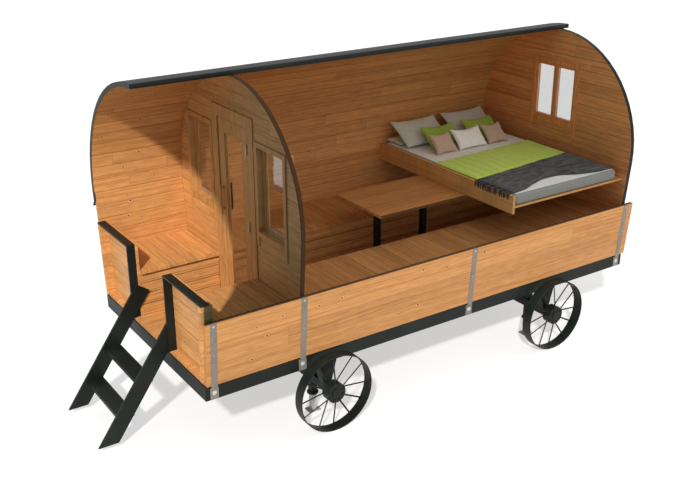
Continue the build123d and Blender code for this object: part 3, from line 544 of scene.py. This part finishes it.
# --------------------------------------------------------------- edge and felt
# Roofing felt laid over the staves in strips that lap 60 mm, with fine grit
# bonded to its face. The steel trim round it is the chassis's black.
felt_strip = 1.0            # the width that one strip covers
felt_lap = 0.060
felt, tree, surface = new_material("roofing_felt")
spot = object_spot(tree)
grit = speckle(tree, spot, 900.0, 1.0)
weathering = speckle(tree, spot, 2.4, 5.0)
strip_place = calc(tree, "DIVIDE", split(tree, spot)[0], felt_strip)
strip = calc(tree, "FRACT", strip_place)
strip_tone = chance(tree, calc(tree, "FLOOR", strip_place))
lap_end = remainder(tree, ramp(tree, strip, felt_lap - 0.006, felt_lap))
lap = calc(tree, "MULTIPLY", ramp(tree, strip, 0.0, 0.006), lap_end)
colour = tint(tree, ramp(tree, weathering, 0.35, 0.75), (0.008, 0.012, 0.012), (0.018, 0.023, 0.022))
colour = tint(tree, calc(tree, "MULTIPLY", strip_tone, 0.45), colour, (0.024, 0.031, 0.030))
colour = tint(tree, calc(tree, "MULTIPLY", lap, 0.5), colour, (0.006, 0.008, 0.008))
colour = tint(tree, calc(tree, "MULTIPLY", grit, 0.25), colour, (0.06, 0.066, 0.064))
height = calc(tree, "MULTIPLY_ADD", lap, 1.0, calc(tree, "MULTIPLY", grit, 0.25))
principled(tree, surface, Base_Color=colour, Roughness=0.86, Normal=embossed(tree, height, 0.6, 0.003))
coat(["roof_covering"], felt)
coat(["drip_trim", "edge_trim"], black_steel)

# ----------------------------------------------------------------- galvanised
# Hot-dip zinc on the straps: dull grey, with the faint spangle of the bath and
# a few darker streaks. Two finer coats of zinc follow for the smaller parts.
galvanised, tree, surface = new_material("galvanised")
spot = object_spot(tree)
spangle = place(tree, "TexVoronoi", Vector=spot, Scale=95.0).outputs["Color"]
sparkle = place(tree, "SeparateColor", Color=spangle).outputs[0]
streak = speckle(tree, spot, 7.0, 4.0)
colour = tint(tree, sparkle, (0.20, 0.182, 0.158), (0.245, 0.225, 0.195))
colour = tint(tree, ramp(tree, streak, 0.5, 0.8), colour, (0.145, 0.13, 0.11))
dull = calc(tree, "MULTIPLY_ADD", streak, 0.3, 0.42)
principled(tree, surface, Base_Color=colour, Metallic=0.35, Roughness=dull)
coat(["near_straps", "far_straps"], galvanised)

# Bright zinc plate on the jack legs and on the straps' bolts.
bright_zinc, tree, surface = new_material("bright_zinc")
haze = speckle(tree, object_spot(tree), 60.0, 3.0)
colour = tint(tree, haze, (0.42, 0.42, 0.40), (0.62, 0.61, 0.58))
dull = calc(tree, "MULTIPLY_ADD", haze, 0.3, 0.25)
principled(tree, surface, Base_Color=colour, Metallic=0.3, Roughness=dull)
coat([f"{corner}_jack_leg" for corner in wagon_corners], bright_zinc)

# Passivated zinc, a little yellow, on the hinges and the weather strips.
passivated_zinc, tree, surface = new_material("passivated_zinc")
haze = speckle(tree, object_spot(tree), 40.0, 3.0)
colour = tint(tree, haze, (0.36, 0.24, 0.15), (0.56, 0.40, 0.27))
principled(tree, surface, Base_Color=colour, Metallic=0.3, Roughness=0.4)
coat(["door_hinges"], passivated_zinc)

# ----------------------------------------------------------------------- glass
# Clear float glass in the door and the side windows, a little green at depth.
# The rear panes are obscured: pale grey, and dull enough to blur what is behind.
for name, colour, dull, panes in (
    ("clear_glass", (0.93, 0.97, 0.95), 0.02, ["door_glass", "window_panes"]),
    ("obscured_glass", (0.62, 0.64, 0.63), 0.28, ["rear_window_panes"]),
):
    glass, tree, surface = new_material(name)
    principled(tree, surface, Base_Color=colour, Roughness=dull, IOR=1.45, Transmission_Weight=1.0)
    coat(panes, glass)

# ------------------------------------------------------------------ woven cloth
# One plain weave for all the bedding, in a colour of its own for each piece:
# threads crossing at right angles, a soft sheen and slightly uneven dye.
woven, given, wanted = group_tree(
    "woven_cloth",
    [("Vector", "Vector", None), ("Color", "Color", (1, 1, 1, 1)), ("Thread", "Float", 0.002)],
    [("Color", "Color"), ("Height", "Float")],
)
parts = split(woven, given["Vector"])
turns = [calc(woven, "MULTIPLY", parts[axis], tau) for axis in (0, 1)]
warp, weft = (calc(woven, "SINE", calc(woven, "DIVIDE", turn, given["Thread"])) for turn in turns)
threads = calc(woven, "MULTIPLY", warp, weft)
dye = speckle(woven, given["Vector"], 23.0, 3.0)
level = calc(woven, "MULTIPLY_ADD", dye, 0.22, calc(woven, "MULTIPLY_ADD", threads, 0.05, 0.89))
woven.links.new(tint(woven, 1.0, given["Color"], grey(woven, level), "MULTIPLY"), wanted["Color"])
woven.links.new(threads, wanted["Height"])


def cloth(name, colour, thread=0.002, fuzz=0.25):
    """A woven material of one colour."""
    material, tree, surface = new_material(name)
    spot = object_spot(tree)
    weave = place(tree, "Group", {"node_tree": woven}, Vector=spot, Color=colour, Thread=thread).outputs
    principled(
        tree,
        surface,
        Base_Color=weave["Color"],
        Roughness=0.92,
        Normal=embossed(tree, weave["Height"], 0.25, 0.0008),
        Sheen_Weight=fuzz,
        Sheen_Roughness=0.5,
    )
    return material


def add_piece(name, shape, material, body="wagon", smooth=True):
    """Makes one piece from a bmesh, in the row frame, and lets a body carry it."""
    data = bpy.data.meshes.new(name)
    bmesh.ops.recalc_face_normals(shape, faces=shape.faces)
    shape.to_mesh(data)
    shape.free()
    piece = bpy.data.objects.new(name, data)
    scene.collection.objects.link(piece)
    data.materials.append(material)
    if smooth:
        data.shade_smooth()
    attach(piece, body)
    return piece


kept_copies = []            # the vertices found below last only as long as their mesh


def parts_of(name):
    """The vertices of each separate solid in a CAD node, from a merged copy."""
    copy = bmesh.new()
    copy.from_mesh(nodes[name].data)
    bmesh.ops.remove_doubles(copy, verts=copy.verts, dist=1e-5)
    copy.normal_update()
    kept_copies.append(copy)
    seen, found_parts = set(), []
    for start in copy.verts:
        found, queue = [], [start]
        while queue:
            vertex = queue.pop()
            if vertex not in seen:
                seen.add(vertex)
                found.append(vertex)
                queue += [edge.other_vert(vertex) for edge in vertex.link_edges]
        if found:
            found_parts.append(found)
    return found_parts


def reach_of(found):
    """Lowest and highest corner of one separate solid."""
    corners = [vertex.co for vertex in found]
    return (
        Vector(min(corner[axis] for corner in corners) for axis in range(3)),
        Vector(max(corner[axis] for corner in corners) for axis in range(3)),
    )


def turned_bar(shape, start, end, radius, sides=16, end_radius=None):
    """A round, hexagonal or tapered bar between two points."""
    start, end = Vector(start), Vector(end)
    turn = (end - start).to_track_quat("Z", "Y").to_matrix().to_4x4()
    bmesh.ops.create_cone(
        shape,
        cap_ends=True,
        segments=sides,
        radius1=radius,
        radius2=radius if end_radius is None else end_radius,
        depth=(end - start).length,
        matrix=Matrix.Translation((start + end) / 2) @ turn,
    )


def box_at(shape, middle, size):
    """A rectangular block."""
    bmesh.ops.create_cube(shape, size=1, matrix=Matrix.Translation(middle) @ Matrix.Diagonal((*size, 1)))


slant = Vector((0.62, 0.37, 0.69))  # a direction in which no two parts of a mesh lie level


def level_on_slant(part):
    """How far along the slant a vertex, an edge or a face lies."""
    points = [part.co] if isinstance(part, bmesh.types.BMVert) else [vertex.co for vertex in part.verts]
    return sum(points, Vector()).dot(slant) / len(points)


def renumber(shape):
    """Sorts a mesh's parts by their place, so that each run numbers them alike."""
    for parts in (shape.verts, shape.edges, shape.faces):
        parts.sort(key=level_on_slant)


def rounded(shape, edges, radius, steps):
    """Rounds some edges of a block."""
    bmesh.ops.bevel(
        shape, geom=edges, offset=radius, segments=steps, profile=0.5, affect="EDGES", material=-1
    )
    renumber(shape)


def tube(shape, path, radii, sides=6, closed=False):
    """A round cord through a row of points, ring by ring; its ends are closed."""
    rings = []
    for index, (point, radius) in enumerate(zip(path, radii)):
        ahead = path[(index + 1) % len(path)] if closed or index + 1 < len(path) else point
        behind = path[index - 1] if closed or index else point
        turn = (ahead - behind).to_track_quat("Z", "Y").to_matrix().to_4x4()
        ring = bmesh.ops.create_circle(
            shape, cap_ends=False, radius=radius, segments=sides, matrix=Matrix.Translation(point) @ turn
        )["verts"]
        rings.append({edge for vertex in ring for edge in vertex.link_edges})
    if not closed:
        for ring in (rings[0], rings[-1]):
            bmesh.ops.contextual_create(shape, geom=list(ring))
    for first, second in zip(rings, rings[1:] + (rings[:1] if closed else [])):
        bmesh.ops.bridge_loops(shape, edges=list(first | second))


# -------------------------------------------------------------------- hardware
# Fasteners and small fittings: zinc hexagon bolts on washers, the collars of
# the jack sleeves, hub bolts, hinge pins and the door's inner pull.


def bolt(shape, seat, outward, head=0.009, height=0.0045):
    """A hexagon head on a washer; seat is the point on the face it clamps."""
    outward = Vector(outward).normalized()
    shoulder, top = seat + outward * height * 0.8, seat + outward * height
    turned_bar(shape, seat - outward * 0.001, seat + outward * 0.0015, head * 1.5, 24)
    turned_bar(shape, seat + outward * 0.0012, shoulder, head, sides=6)
    turned_bar(shape, shoulder, top, head, sides=6, end_radius=head * 0.75)


foot_bolt_up = 0.06         # from the strap's foot
upper_bolts_down = (0.030, 0.30)    # from its top
strap_foot = 0.11           # the strap stands upright on the chassis this far up
strap_bolts = bmesh.new()
for name, side in (("near_straps", -1), ("far_straps", 1)):
    for found in parts_of(name):
        low, high = reach_of(found)
        middle_x = (low.x + high.x) / 2
        foot_face = max(abs(vertex.co.y) for vertex in found if vertex.co.z < low.z + 0.01)
        foot_seat = Vector((middle_x, side * foot_face, low.z + foot_bolt_up))
        bolt(strap_bolts, foot_seat, (0, side, 0), head=0.014, height=0.009)
        top_face = max(abs(vertex.co.y) for vertex in found if vertex.co.z > high.z - 0.01)
        slope = (top_face - foot_face) / (high.z - low.z - strap_foot)
        for drop in upper_bolts_down:
            upper_seat = Vector((middle_x, side * (top_face - slope * drop), high.z - drop))
            bolt(strap_bolts, upper_seat, (0, side, -slope), head=0.006)
add_piece("strap_bolts", strap_bolts, bright_zinc, smooth=False)

collars = bmesh.new()
collar_inner, collar_outer, collar_height = 0.0428, 0.054, 0.014
sleeve_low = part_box("jack_sleeves")[0][2]
for found in parts_of("jack_sleeves"):
    low, high = reach_of(found)
    centre = Vector(((low.x + high.x) / 2, (low.y + high.y) / 2, sleeve_low))
    corners = (
        (collar_inner, 0), (collar_outer, 0), (collar_outer, collar_height), (collar_inner, collar_height),
    )
    profile = [collars.verts.new(centre + Vector((radius, 0, rise))) for radius, rise in corners]
    profile += [collars.edges.new((profile[corner - 1], profile[corner])) for corner in range(4)]
    bmesh.ops.spin(collars, geom=profile, cent=centre, axis=(0, 0, 1), angle=tau, steps=32, use_merge=True)
renumber(collars)
add_piece("jack_collars", collars, black_steel, smooth=False)

hub_face_inset = 0.012
hub_bolt_circle = 0.073
hub_bolt_count = 8
for corner in wagon_corners:
    name, out = corner + "_wheel", -1 if "near" in corner else 1
    low, high = (Vector(corner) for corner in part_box(name))
    centre = (low + high) / 2
    face_y = high.y if out > 0 else low.y
    hub = Vector((centre.x, face_y - out * hub_face_inset, centre.z))
    fittings = bmesh.new()
    for step in range(hub_bolt_count):
        angle = tau * (step + 0.5) / hub_bolt_count
        seat = hub + hub_bolt_circle * Vector((cos(angle), 0, sin(angle)))
        bolt(fittings, seat, (0, out, 0), head=0.010, height=0.009)
    for start, end, radius, sides, end_radius in (
        (0.0075, 0.0115, 0.046, 32, 0.028),     # the cap
        (0.0072, 0.0118, 0.017, 6, None),       # and its hexagon
    ):
        foot, top = hub + Vector((0, out * start, 0)), hub + Vector((0, out * end, 0))
        turned_bar(fittings, foot, top, radius, sides, end_radius)
    add_piece(name + "_bolts", fittings, black_steel, body=name, smooth=False)

hinge_pins = bmesh.new()
pin_inset = 0.008           # from the hinge's corner to its pin
pin_radius, pin_tip, pin_height = 0.0062, 0.0035, 0.006
knuckle_radius = 0.0084
for found in parts_of("door_hinges"):
    low, high = reach_of(found)
    pin_x, pin_y = low.x + pin_inset, low.y + pin_inset
    for level, out in ((high.z, 1), (low.z, -1)):
        foot, tip = (pin_x, pin_y, level - out * 0.001), (pin_x, pin_y, level + out * pin_height)
        turned_bar(hinge_pins, foot, tip, pin_radius, 16, end_radius=pin_tip)
    for third in (1, 2):
        level = low.z + (high.z - low.z) * third / 3
        foot, top = (pin_x, pin_y, level - 0.0006), (pin_x, pin_y, level + 0.0006)
        turned_bar(hinge_pins, foot, top, knuckle_radius, 24)
add_piece("hinge_pins", hinge_pins, passivated_zinc, body="door", smooth=False)

pull = bmesh.new()
handle_low, handle_high = (Vector(corner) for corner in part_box("door_handle"))
leaf_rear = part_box("door_leaf")[1][0]
pull_y = (handle_low.y + handle_high.y) / 2
pull_x = leaf_rear + 0.038
turned_bar(pull, (pull_x, pull_y, handle_low.z), (pull_x, pull_y, handle_high.z), 0.008)
for level in (handle_low.z + 0.03, handle_high.z - 0.03):
    foot = (leaf_rear - 0.001, pull_y, level)
    turned_bar(pull, foot, (pull_x, pull_y, level), 0.006)
    turned_bar(pull, foot, (leaf_rear + 0.003, pull_y, level), 0.014)
add_piece("inner_pull", pull, black_steel, body="door", smooth=False)

# Mitred glazing beads of pine hold each clear pane on both faces and hide its
# ground edge. A zinc weather strip lies along the foot of each side window.
bead_width, bead_depth = 0.012, 0.007
bead_gap = 0.0002           # from the glass
strip_height, strip_depth = 0.020, 0.012


def glazing_bead(shape, low, high, face_x, depth):
    """A frame of thin strips from a pane's face; low and high are the pane's corners."""
    middle = (low + high) / 2
    upright = Matrix.Rotation(pi / 2, 4, "Y") @ Matrix.Diagonal((high.z - low.z, high.y - low.y, 1, 1))
    plane = Matrix.Translation((face_x, middle.y, middle.z)) @ upright
    corners = bmesh.ops.create_grid(shape, x_segments=1, y_segments=1, size=0.5, matrix=plane)["verts"]
    pane = corners[0].link_faces[0]
    border = bmesh.ops.inset_region(
        shape, faces=[pane], thickness=bead_width, use_boundary=True, use_even_offset=True
    )["faces"]
    bmesh.ops.delete(shape, geom=[pane], context="FACES_ONLY")
    grown = bmesh.ops.extrude_face_region(shape, geom=border)["geom"]
    bmesh.ops.translate(shape, verts=points_in(grown), vec=(depth, 0, 0))


for name, body in (("window_panes", "wagon"), ("door_glass", "door")):
    beads = bmesh.new()
    for found in parts_of(name):
        low, high = reach_of(found)
        glazing_bead(beads, low, high, low.x - bead_gap, -bead_depth)
        glazing_bead(beads, low, high, high.x + bead_gap, bead_depth)
    renumber(beads)
    add_piece(name + "_beads", beads, joinery, body=body, smooth=False)

strips = bmesh.new()
for found in parts_of("window_panes"):
    low, high = reach_of(found)
    strip_x = low.x - strip_depth / 2 - 0.0004
    strip_z = low.z + strip_height / 2 + 0.001
    size = (strip_depth, high.y - low.y - 0.002, strip_height)
    box_at(strips, Vector((strip_x, (low.y + high.y) / 2, strip_z)), size)
rounded(strips, strips.edges[:], 0.002, 2)
add_piece("weather_strips", strips, passivated_zinc, smooth=False)

# -------------------------------------------------------------------- mattress
# A foam mattress in a grey knitted cover, with a piped seam round its top and
# bottom. It lies in the bed frame, with a pale fitted sheet drawn over its top.
mattress_low, mattress_high = (Vector(corner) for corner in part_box("mattress"))
sheet_room = 0.005          # left for the sheet over the mattress
mattress_high.z -= sheet_room
mattress_size = mattress_high - mattress_low
mattress_middle = (mattress_high + mattress_low) / 2
mattress_corner, mattress_edge = 0.06, 0.034
shape = bmesh.new()
box_at(shape, mattress_middle, mattress_size)
corners = [edge for edge in shape.edges if abs(edge.verts[0].co.z - edge.verts[1].co.z) > 0.01]
rounded(shape, corners, mattress_corner, 6)
rims = [edge for edge in shape.edges if abs(edge.verts[0].co.z - edge.verts[1].co.z) < 0.001]
rounded(shape, rims, mattress_edge, 6)
knit_grey = cloth("mattress_cover", (0.30, 0.305, 0.285), thread=0.004)
mattress = add_piece("mattress_body", shape, knit_grey)
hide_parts("mattress")

piping = bmesh.new()
piping_radius = 0.004
piping_bend = mattress_corner + 0.0005      # the seam stands a little proud
bend_middle = mattress_size.xy / 2 - Vector((mattress_corner, mattress_corner))
for level in (mattress_low.z + mattress_edge, mattress_high.z - mattress_edge):
    ring = []
    for quarter, (side_x, side_y) in enumerate(((1, 1), (-1, 1), (-1, -1), (1, -1))):
        centre = mattress_middle.xy + Vector((side_x * bend_middle.x, side_y * bend_middle.y))
        for step in range(7):
            angle = radians(90 * quarter + 15 * step)
            seam = centre + Vector((cos(angle), sin(angle))) * piping_bend
            ring.append(Vector((*seam, level)))
    tube(piping, ring, [piping_radius] * len(ring), closed=True)
add_piece("mattress_piping", piping, knit_grey)

# ----------------------------------------------------------------- fitted sheet
# A pale cotton sheet drawn flat over the mattress, with slack wrinkles between
# the pillows and the blanket.
sheet_inset = 0.036
sheet_low = mattress_low + Vector((sheet_inset, sheet_inset, 0))
sheet_high = mattress_high - Vector((sheet_inset, sheet_inset, 0))
sheet_width, sheet_length = sheet_high.x - sheet_low.x, sheet_high.y - sheet_low.y


def ripple(x, y, scale, seed):
    """Smooth unevenness between -1 and 1."""
    return noise.noise(Vector((x * scale, y * scale, seed)))


def cloth_slab(columns, rows, point, thickness):
    """A closed cloth of two faces; point gives the lower face, thickness the height over it."""
    shape = bmesh.new()
    for layer in (0, 1):
        grid = bmesh.ops.create_grid(shape, x_segments=columns, y_segments=rows, size=0.5)["verts"]
        for vertex in grid:
            u, v = (min(1, max(0, vertex.co[axis] + 0.5)) for axis in (0, 1))
            vertex.co = point(u, v) + Vector((0, 0, thickness(u, v) * layer))
    bmesh.ops.bridge_loops(shape, edges=[edge for edge in shape.edges if edge.is_boundary])
    return shape


def sheet_point(u, v):
    """Lower face of the sheet, which rests on the mattress."""
    return Vector((sheet_low.x + u * sheet_width, sheet_low.y + v * sheet_length, mattress_high.z + 0.0005))


def sheet_lift(u, v):
    """Height of the sheet's upper face over the lower one, with low wrinkles."""
    x, y = u * sheet_width, v * sheet_length
    fold = max(0, 1 - abs(ripple(x, y, 3.1, 4.0) + 0.4 * ripple(x, y, 9.0, 7.0)) * 6)
    return 0.0012 + 0.0022 * fold


bed_linen = cloth("bed_linen", (0.88, 0.89, 0.83), thread=0.0016, fuzz=0.15)
drawn_sheet = cloth_slab(110, 160, sheet_point, sheet_lift)
sheet = add_piece("fitted_sheet", drawn_sheet, bed_linen)

# --------------------------------------------------------------------- pillows
# Nine filled pillows: sewn from two panels, fuller in the middle, with their
# sides drawn in between the corners and their covers creased at the seam.
pillow_step = 0.009
seam_height = 0.004         # of half a pillow, at its edge
islands = []
for found in parts_of("pillows"):
    faces = [face for vertex in found for face in vertex.link_faces]
    broad = max((face for face in faces if face.normal.z > 0.1), key=lambda face: face.calc_area())
    up = broad.normal.copy()
    across = Vector((1, 0, 0))
    along = up.cross(across)
    reach = [[vertex.co.dot(axis) for vertex in found] for axis in (across, along, up)]
    middle = sum((axis * (max(r) + min(r)) / 2 for axis, r in zip((across, along, up), reach)), Vector())
    islands.append((middle, across, along, up, [max(r) - min(r) for r in reach]))
islands.sort(key=lambda island: (-round(island[0].y, 1), island[0].x))


def pillow_form(width, depth, thickness, seed):
    """A filled pillow, flat on its back, made of two crowned panels."""
    columns = max(12, round(width / pillow_step))
    rows = max(12, round(depth / pillow_step))
    draw_in = 0.035

    def outline(u, v):
        a, b = 2 * u - 1, 2 * v - 1
        x = a * width / 2 * (1 - draw_in * (1 - b * b))
        y = b * depth / 2 * (1 - draw_in * 1.6 * (1 - a * a))
        return a, b, x, y

    def half_height(a, b, x, y):
        crown = ((1 - abs(a) ** 2.6) * (1 - abs(b) ** 2.6)) ** 0.55
        pucker = ripple(x, y, 15, seed) * 0.10 + ripple(x, y, 34, seed + 3) * 0.05
        rim = (1 - crown) * crown * 4
        unevenness = 1 + pucker * rim + 0.06 * ripple(x, y, 5, seed + 9) - 0.06
        return seam_height + (thickness / 2 - seam_height) * crown * unevenness

    def low(u, v):
        a, b, x, y = outline(u, v)
        return Vector((x, y, -half_height(a, b, x, y)))

    def rise(u, v):
        a, b, x, y = outline(u, v)
        return 2 * half_height(a, b, x, y)

    return cloth_slab(columns, rows, low, rise)


settle_frames = 20


def settle(piece, pressure, cap, slack):
    """Blows a closed cloth form up a little, and keeps every point within cap of its start."""
    before = [vertex.co.copy() for vertex in piece.data.vertices]
    sim = piece.modifiers.new("cloth", "CLOTH")
    cover = sim.settings
    cover.quality = 5
    cover.mass = 0.25
    cover.tension_stiffness = cover.compression_stiffness = 18
    cover.shear_stiffness = 6
    cover.bending_stiffness = 0.6
    cover.shrink_min = -slack
    cover.use_pressure = True
    cover.uniform_pressure_force = pressure
    cover.effector_weights.gravity = 0
    sim.collision_settings.use_collision = False
    sim.point_cache.frame_end = settle_frames
    for step in range(1, settle_frames + 1):
        scene.frame_set(step)
    blown = bpy.data.meshes.new_from_object(piece.evaluated_get(bpy.context.evaluated_depsgraph_get()))
    for vertex, start in zip(blown.vertices, before):
        moved = vertex.co - start
        if moved.length > cap:
            vertex.co = start + moved * (cap / moved.length)
    piece.modifiers.clear()
    piece.data = blown
    scene.frame_set(1)


linen_grey = cloth("linen_grey", (0.60, 0.635, 0.54))
linen_pale = cloth("linen_pale", (0.98, 0.94, 0.87))
linen_beige = cloth("linen_beige", (0.60, 0.43, 0.30))
linen_green = cloth("linen_green", (0.33, 0.50, 0.05))
pillow_covers = [linen_grey] * 4 + [linen_green] * 2 + [linen_beige, linen_pale, linen_beige]
unfilled = 0.985            # a pillow's size before it is blown up, as a share of its room
for number, (island, cover) in enumerate(zip(islands, pillow_covers)):
    middle, across, along, up, (width, depth, thickness) = island
    flatness = 0.86 if width < 0.5 else 0.9
    shape = pillow_form(width * unfilled, depth * unfilled, thickness * flatness, number * 11.3)
    pillow = add_piece(f"pillow_{number + 1}", shape, cover)
    settle(pillow, pressure=3.0, cap=0.010, slack=0.03)
    # A leaning pillow slumps: its middle sinks a little towards the mattress.
    for vertex in pillow.data.vertices:
        x, y, z = vertex.co
        slump = 0.03 * (1 - (2 * x / width) ** 2) * (0.5 + y / depth) * abs(along.z)
        vertex.co = middle + across * x + along * (y - slump) + up * z
    pillow.data.update()
    finish_cloth = pillow.modifiers.new("smooth", "SUBSURF")
    finish_cloth.levels = finish_cloth.render_levels = 1
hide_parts("pillows")

# --------------------------------------------------------------------- blanket
# A green quilt laid across the bed, sewn through in channels that run across
# the wagon. Each channel is filled, and its cover puckers at the seams.


def cloth_corners(name):
    """The four upper corners of a laid CAD cloth, by its place along and across the wagon."""
    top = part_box(name)[1][2]
    points = [vertex.co for vertex in nodes[name].data.vertices if vertex.co.z > top - 0.001]
    middle_x = sum(point.x for point in points) / len(points)
    front_side = sorted((point for point in points if point.x < middle_x), key=lambda point: point.y)
    rear_side = sorted((point for point in points if point.x > middle_x), key=lambda point: point.y)
    return front_side[0], front_side[-1], rear_side[0], rear_side[-1]


def cloth_size(corners):
    """Its near edge's length, and the mean length of the two edges across the wagon."""
    near_front, far_front, near_rear, far_rear = corners
    lengths = (far_front - near_front).length, (far_rear - near_rear).length
    return (near_rear - near_front).length, sum(lengths) / 2


def between(corners, u, v):
    """A point of a four-cornered cloth: u runs from front to rear, v from near to far."""
    near_front, far_front, near_rear, far_rear = corners
    front_point = near_front.lerp(far_front, v)
    rear_point = near_rear.lerp(far_rear, v)
    return front_point.lerp(rear_point, u)


blanket_corners = cloth_corners("blanket")
blanket_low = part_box("blanket")[0][2]
blanket_width, blanket_length = cloth_size(blanket_corners)
channel_count = 12
blanket_hem = 0.022


def blanket_point(u, v):
    """Lower face of the quilt, with its edges a little uneven."""
    place_at = between(blanket_corners, u, v)
    drift = 0.008 * ripple(u * 2.5, v * 1.5, 1, 2.0) * sin(pi * min(u, 1 - u) * 2)
    return Vector((place_at.x, place_at.y + drift, blanket_low))


def blanket_lift(u, v):
    """Height of the quilt: full channels, shallow seams and a thin hem."""
    x, y = u * blanket_width, v * blanket_length
    channel = abs(sin(pi * (u * channel_count + 0.08 * ripple(x, y, 2.2, 5.0))))
    pucker = 0.16 * ripple(x * 0.7, y * 4.5, 9, 8.0) * (1 - channel)
    hem = min(1, min(v, 1 - v) * blanket_length / blanket_hem, min(u, 1 - u) * blanket_width / blanket_hem)
    fullness = (channel**0.45 + pucker) * hem**0.5
    return 0.0035 + 0.0145 * max(0, fullness) + 0.0015 * ripple(x, y, 12, 1.0) * hem


quilted_green = cloth("quilted_green", (0.56, 0.76, 0.085), thread=0.0018, fuzz=0.3)
quilt = cloth_slab(216, 84, blanket_point, blanket_lift)
blanket = add_piece("green_blanket", quilt, quilted_green)
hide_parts("blanket")

# ----------------------------------------------------------------------- throw
# A loosely knitted charcoal throw, laid near the open side and rumpled, with
# a fringe of knotted yarn that hangs over the bed's front board.
throw_corners = cloth_corners("throw")
throw_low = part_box("throw")[0][2]
throw_width, throw_length = cloth_size(throw_corners)
throw_thickness = 0.006
throw_fold = 0.030          # height of the highest folds
throw_gather = 0.16         # how far the middle of the near hem is drawn in
fold_pitch = 0.135          # between one long fold and the next


def throw_rumple(u, v):
    """Height of the throw's folds, from 0 to about 1: long ones with short ones between."""
    x, y = u * throw_width, v * throw_length
    wander = 0.9 * ripple(x, y * 0.6, 2.1, 1.0) + 0.35 * ripple(x, y, 5.5, 4.0)
    long_fold = (0.5 + 0.5 * sin(tau * (y / fold_pitch + 1.3 * wander))) ** 1.6
    short_fold = max(0, 1 - 2.6 * abs(ripple(x * 0.42 + y * 0.3, y, 15, 6.0))) ** 1.3
    strength = min(1, max(0.15, 0.62 + 1.1 * ripple(x, y * 1.4, 3.4, 9.0)))
    hem = min(1, 0.25 + min(v, 1 - v) * throw_length / 0.05, 0.25 + min(u, 1 - u) * throw_width / 0.06)
    return (0.64 * long_fold * strength + 0.36 * short_fold) * hem


def throw_point(u, v):
    """Lower face of the throw; where it folds, it leaves the bed a little."""
    place_at = between(throw_corners, u, v)
    drift = Vector((ripple(u, v * 6, 1, 8.0) * 0.006, ripple(u * 8, v, 1, 5.0) * 0.010, 0))
    gather = Vector((0, (1 - v) * throw_gather * sin(pi * min(1, u * 1.12)) ** 2, 0))
    return Vector((place_at.x, place_at.y, throw_low + throw_fold * throw_rumple(u, v))) + drift + gather


def throw_lift(u, v):
    """Thickness of the knit."""
    return throw_thickness


knit, tree, surface = new_material("charcoal_knit")
spot = object_spot(tree)
axes = split(tree, spot)
stitch = 0.009
columns = calc(tree, "ABSOLUTE", calc(tree, "SINE", calc(tree, "MULTIPLY", axes[1], tau / stitch)))
skewed = calc(tree, "MULTIPLY_ADD", columns, 0.004, axes[0])
row_wave = calc(tree, "SINE", calc(tree, "MULTIPLY", skewed, tau / (stitch * 0.8)))
loops = calc(tree, "MULTIPLY_ADD", columns, 0.6, calc(tree, "MULTIPLY", row_wave, 0.4))
yarn = speckle(tree, spot, 300.0, 2.0)
colour = tint(tree, ramp(tree, loops, -0.3, 0.9), (0.010, 0.0105, 0.009), (0.034, 0.035, 0.031))
colour = tint(tree, calc(tree, "MULTIPLY", yarn, 0.2), colour, (0.07, 0.07, 0.064))
# Painted shade darkens the valleys between the folds, and a painted highlight lightens the crests.
raised = place(tree, "Attribute", {"attribute_name": "fold_height"}).outputs["Fac"]
fold_highlight_mask = ramp(tree, raised, 0.1, 0.8)
painted_fold_shading = tint(tree, fold_highlight_mask, (0.25, 0.25, 0.25), (1.8, 1.8, 1.75))
principled(
    tree,
    surface,
    Base_Color=tint(tree, 1.0, colour, painted_fold_shading, "MULTIPLY"),
    Roughness=0.95,
    Normal=embossed(tree, loops, 0.7, 0.003),
    Sheen_Weight=0.35,
)

rumpled = cloth_slab(230, 120, throw_point, throw_lift)
throw = add_piece("charcoal_throw", rumpled, knit)
fold_height = throw.data.attributes.new("fold_height", "FLOAT", "POINT")
for vertex, level in zip(throw.data.vertices, fold_height.data):
    level.value = (vertex.co.z - throw_low) / throw_fold
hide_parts("throw")

# Fringe: tapered tassels that run forwards off the hem and bend over the board.
board_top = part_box("bed_frame")[1][2]
board_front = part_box("bed_frame")[0][0]
tassels = bmesh.new()
tassel_count = 34
tassel_radius = 0.0042
tassel_swell = (0.9, 1.3, 1.05, 1.0, 1.0, 0.95, 0.85, 0.45)     # knot, yarn and tip
for number in range(tassel_count):
    start = between(throw_corners, 0, (number + 0.5) / tassel_count)
    sideways = 0.016 * ripple(number * 0.37, 1.0, 1, 2.0)
    drop = 0.052 + 0.018 * ripple(number * 0.61, 2.0, 1, 4.0)
    curl = 0.012 * sin(number * 2.4)
    path = [
        Vector((x, start.y + aside, z))
        for x, aside, z in (
            (start.x + 0.014, 0, throw_low + 0.006),
            (start.x - 0.006, sideways * 0.2, board_top + 0.010),
            ((start.x + board_front) / 2, sideways * 0.5, board_top + 0.0065),
            (board_front + 0.004, sideways * 0.8, board_top + 0.0060),
            (board_front - 0.0060, sideways * 0.9, board_top - 0.004),
            (board_front - 0.0070, sideways + curl * 0.4, board_top - drop * 0.45),
            (board_front - 0.0075, sideways * 1.1 + curl, board_top - drop * 0.8),
            (board_front - 0.0085, sideways * 1.1 + curl * 1.7, board_top - drop),
        )
    ]
    tube(tassels, path, [tassel_radius * swell for swell in tassel_swell])
fringe = add_piece("throw_fringe", tassels, knit)

size = {"cad": [list(c) for c in cad_box], "visual": [list(c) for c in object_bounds()]}
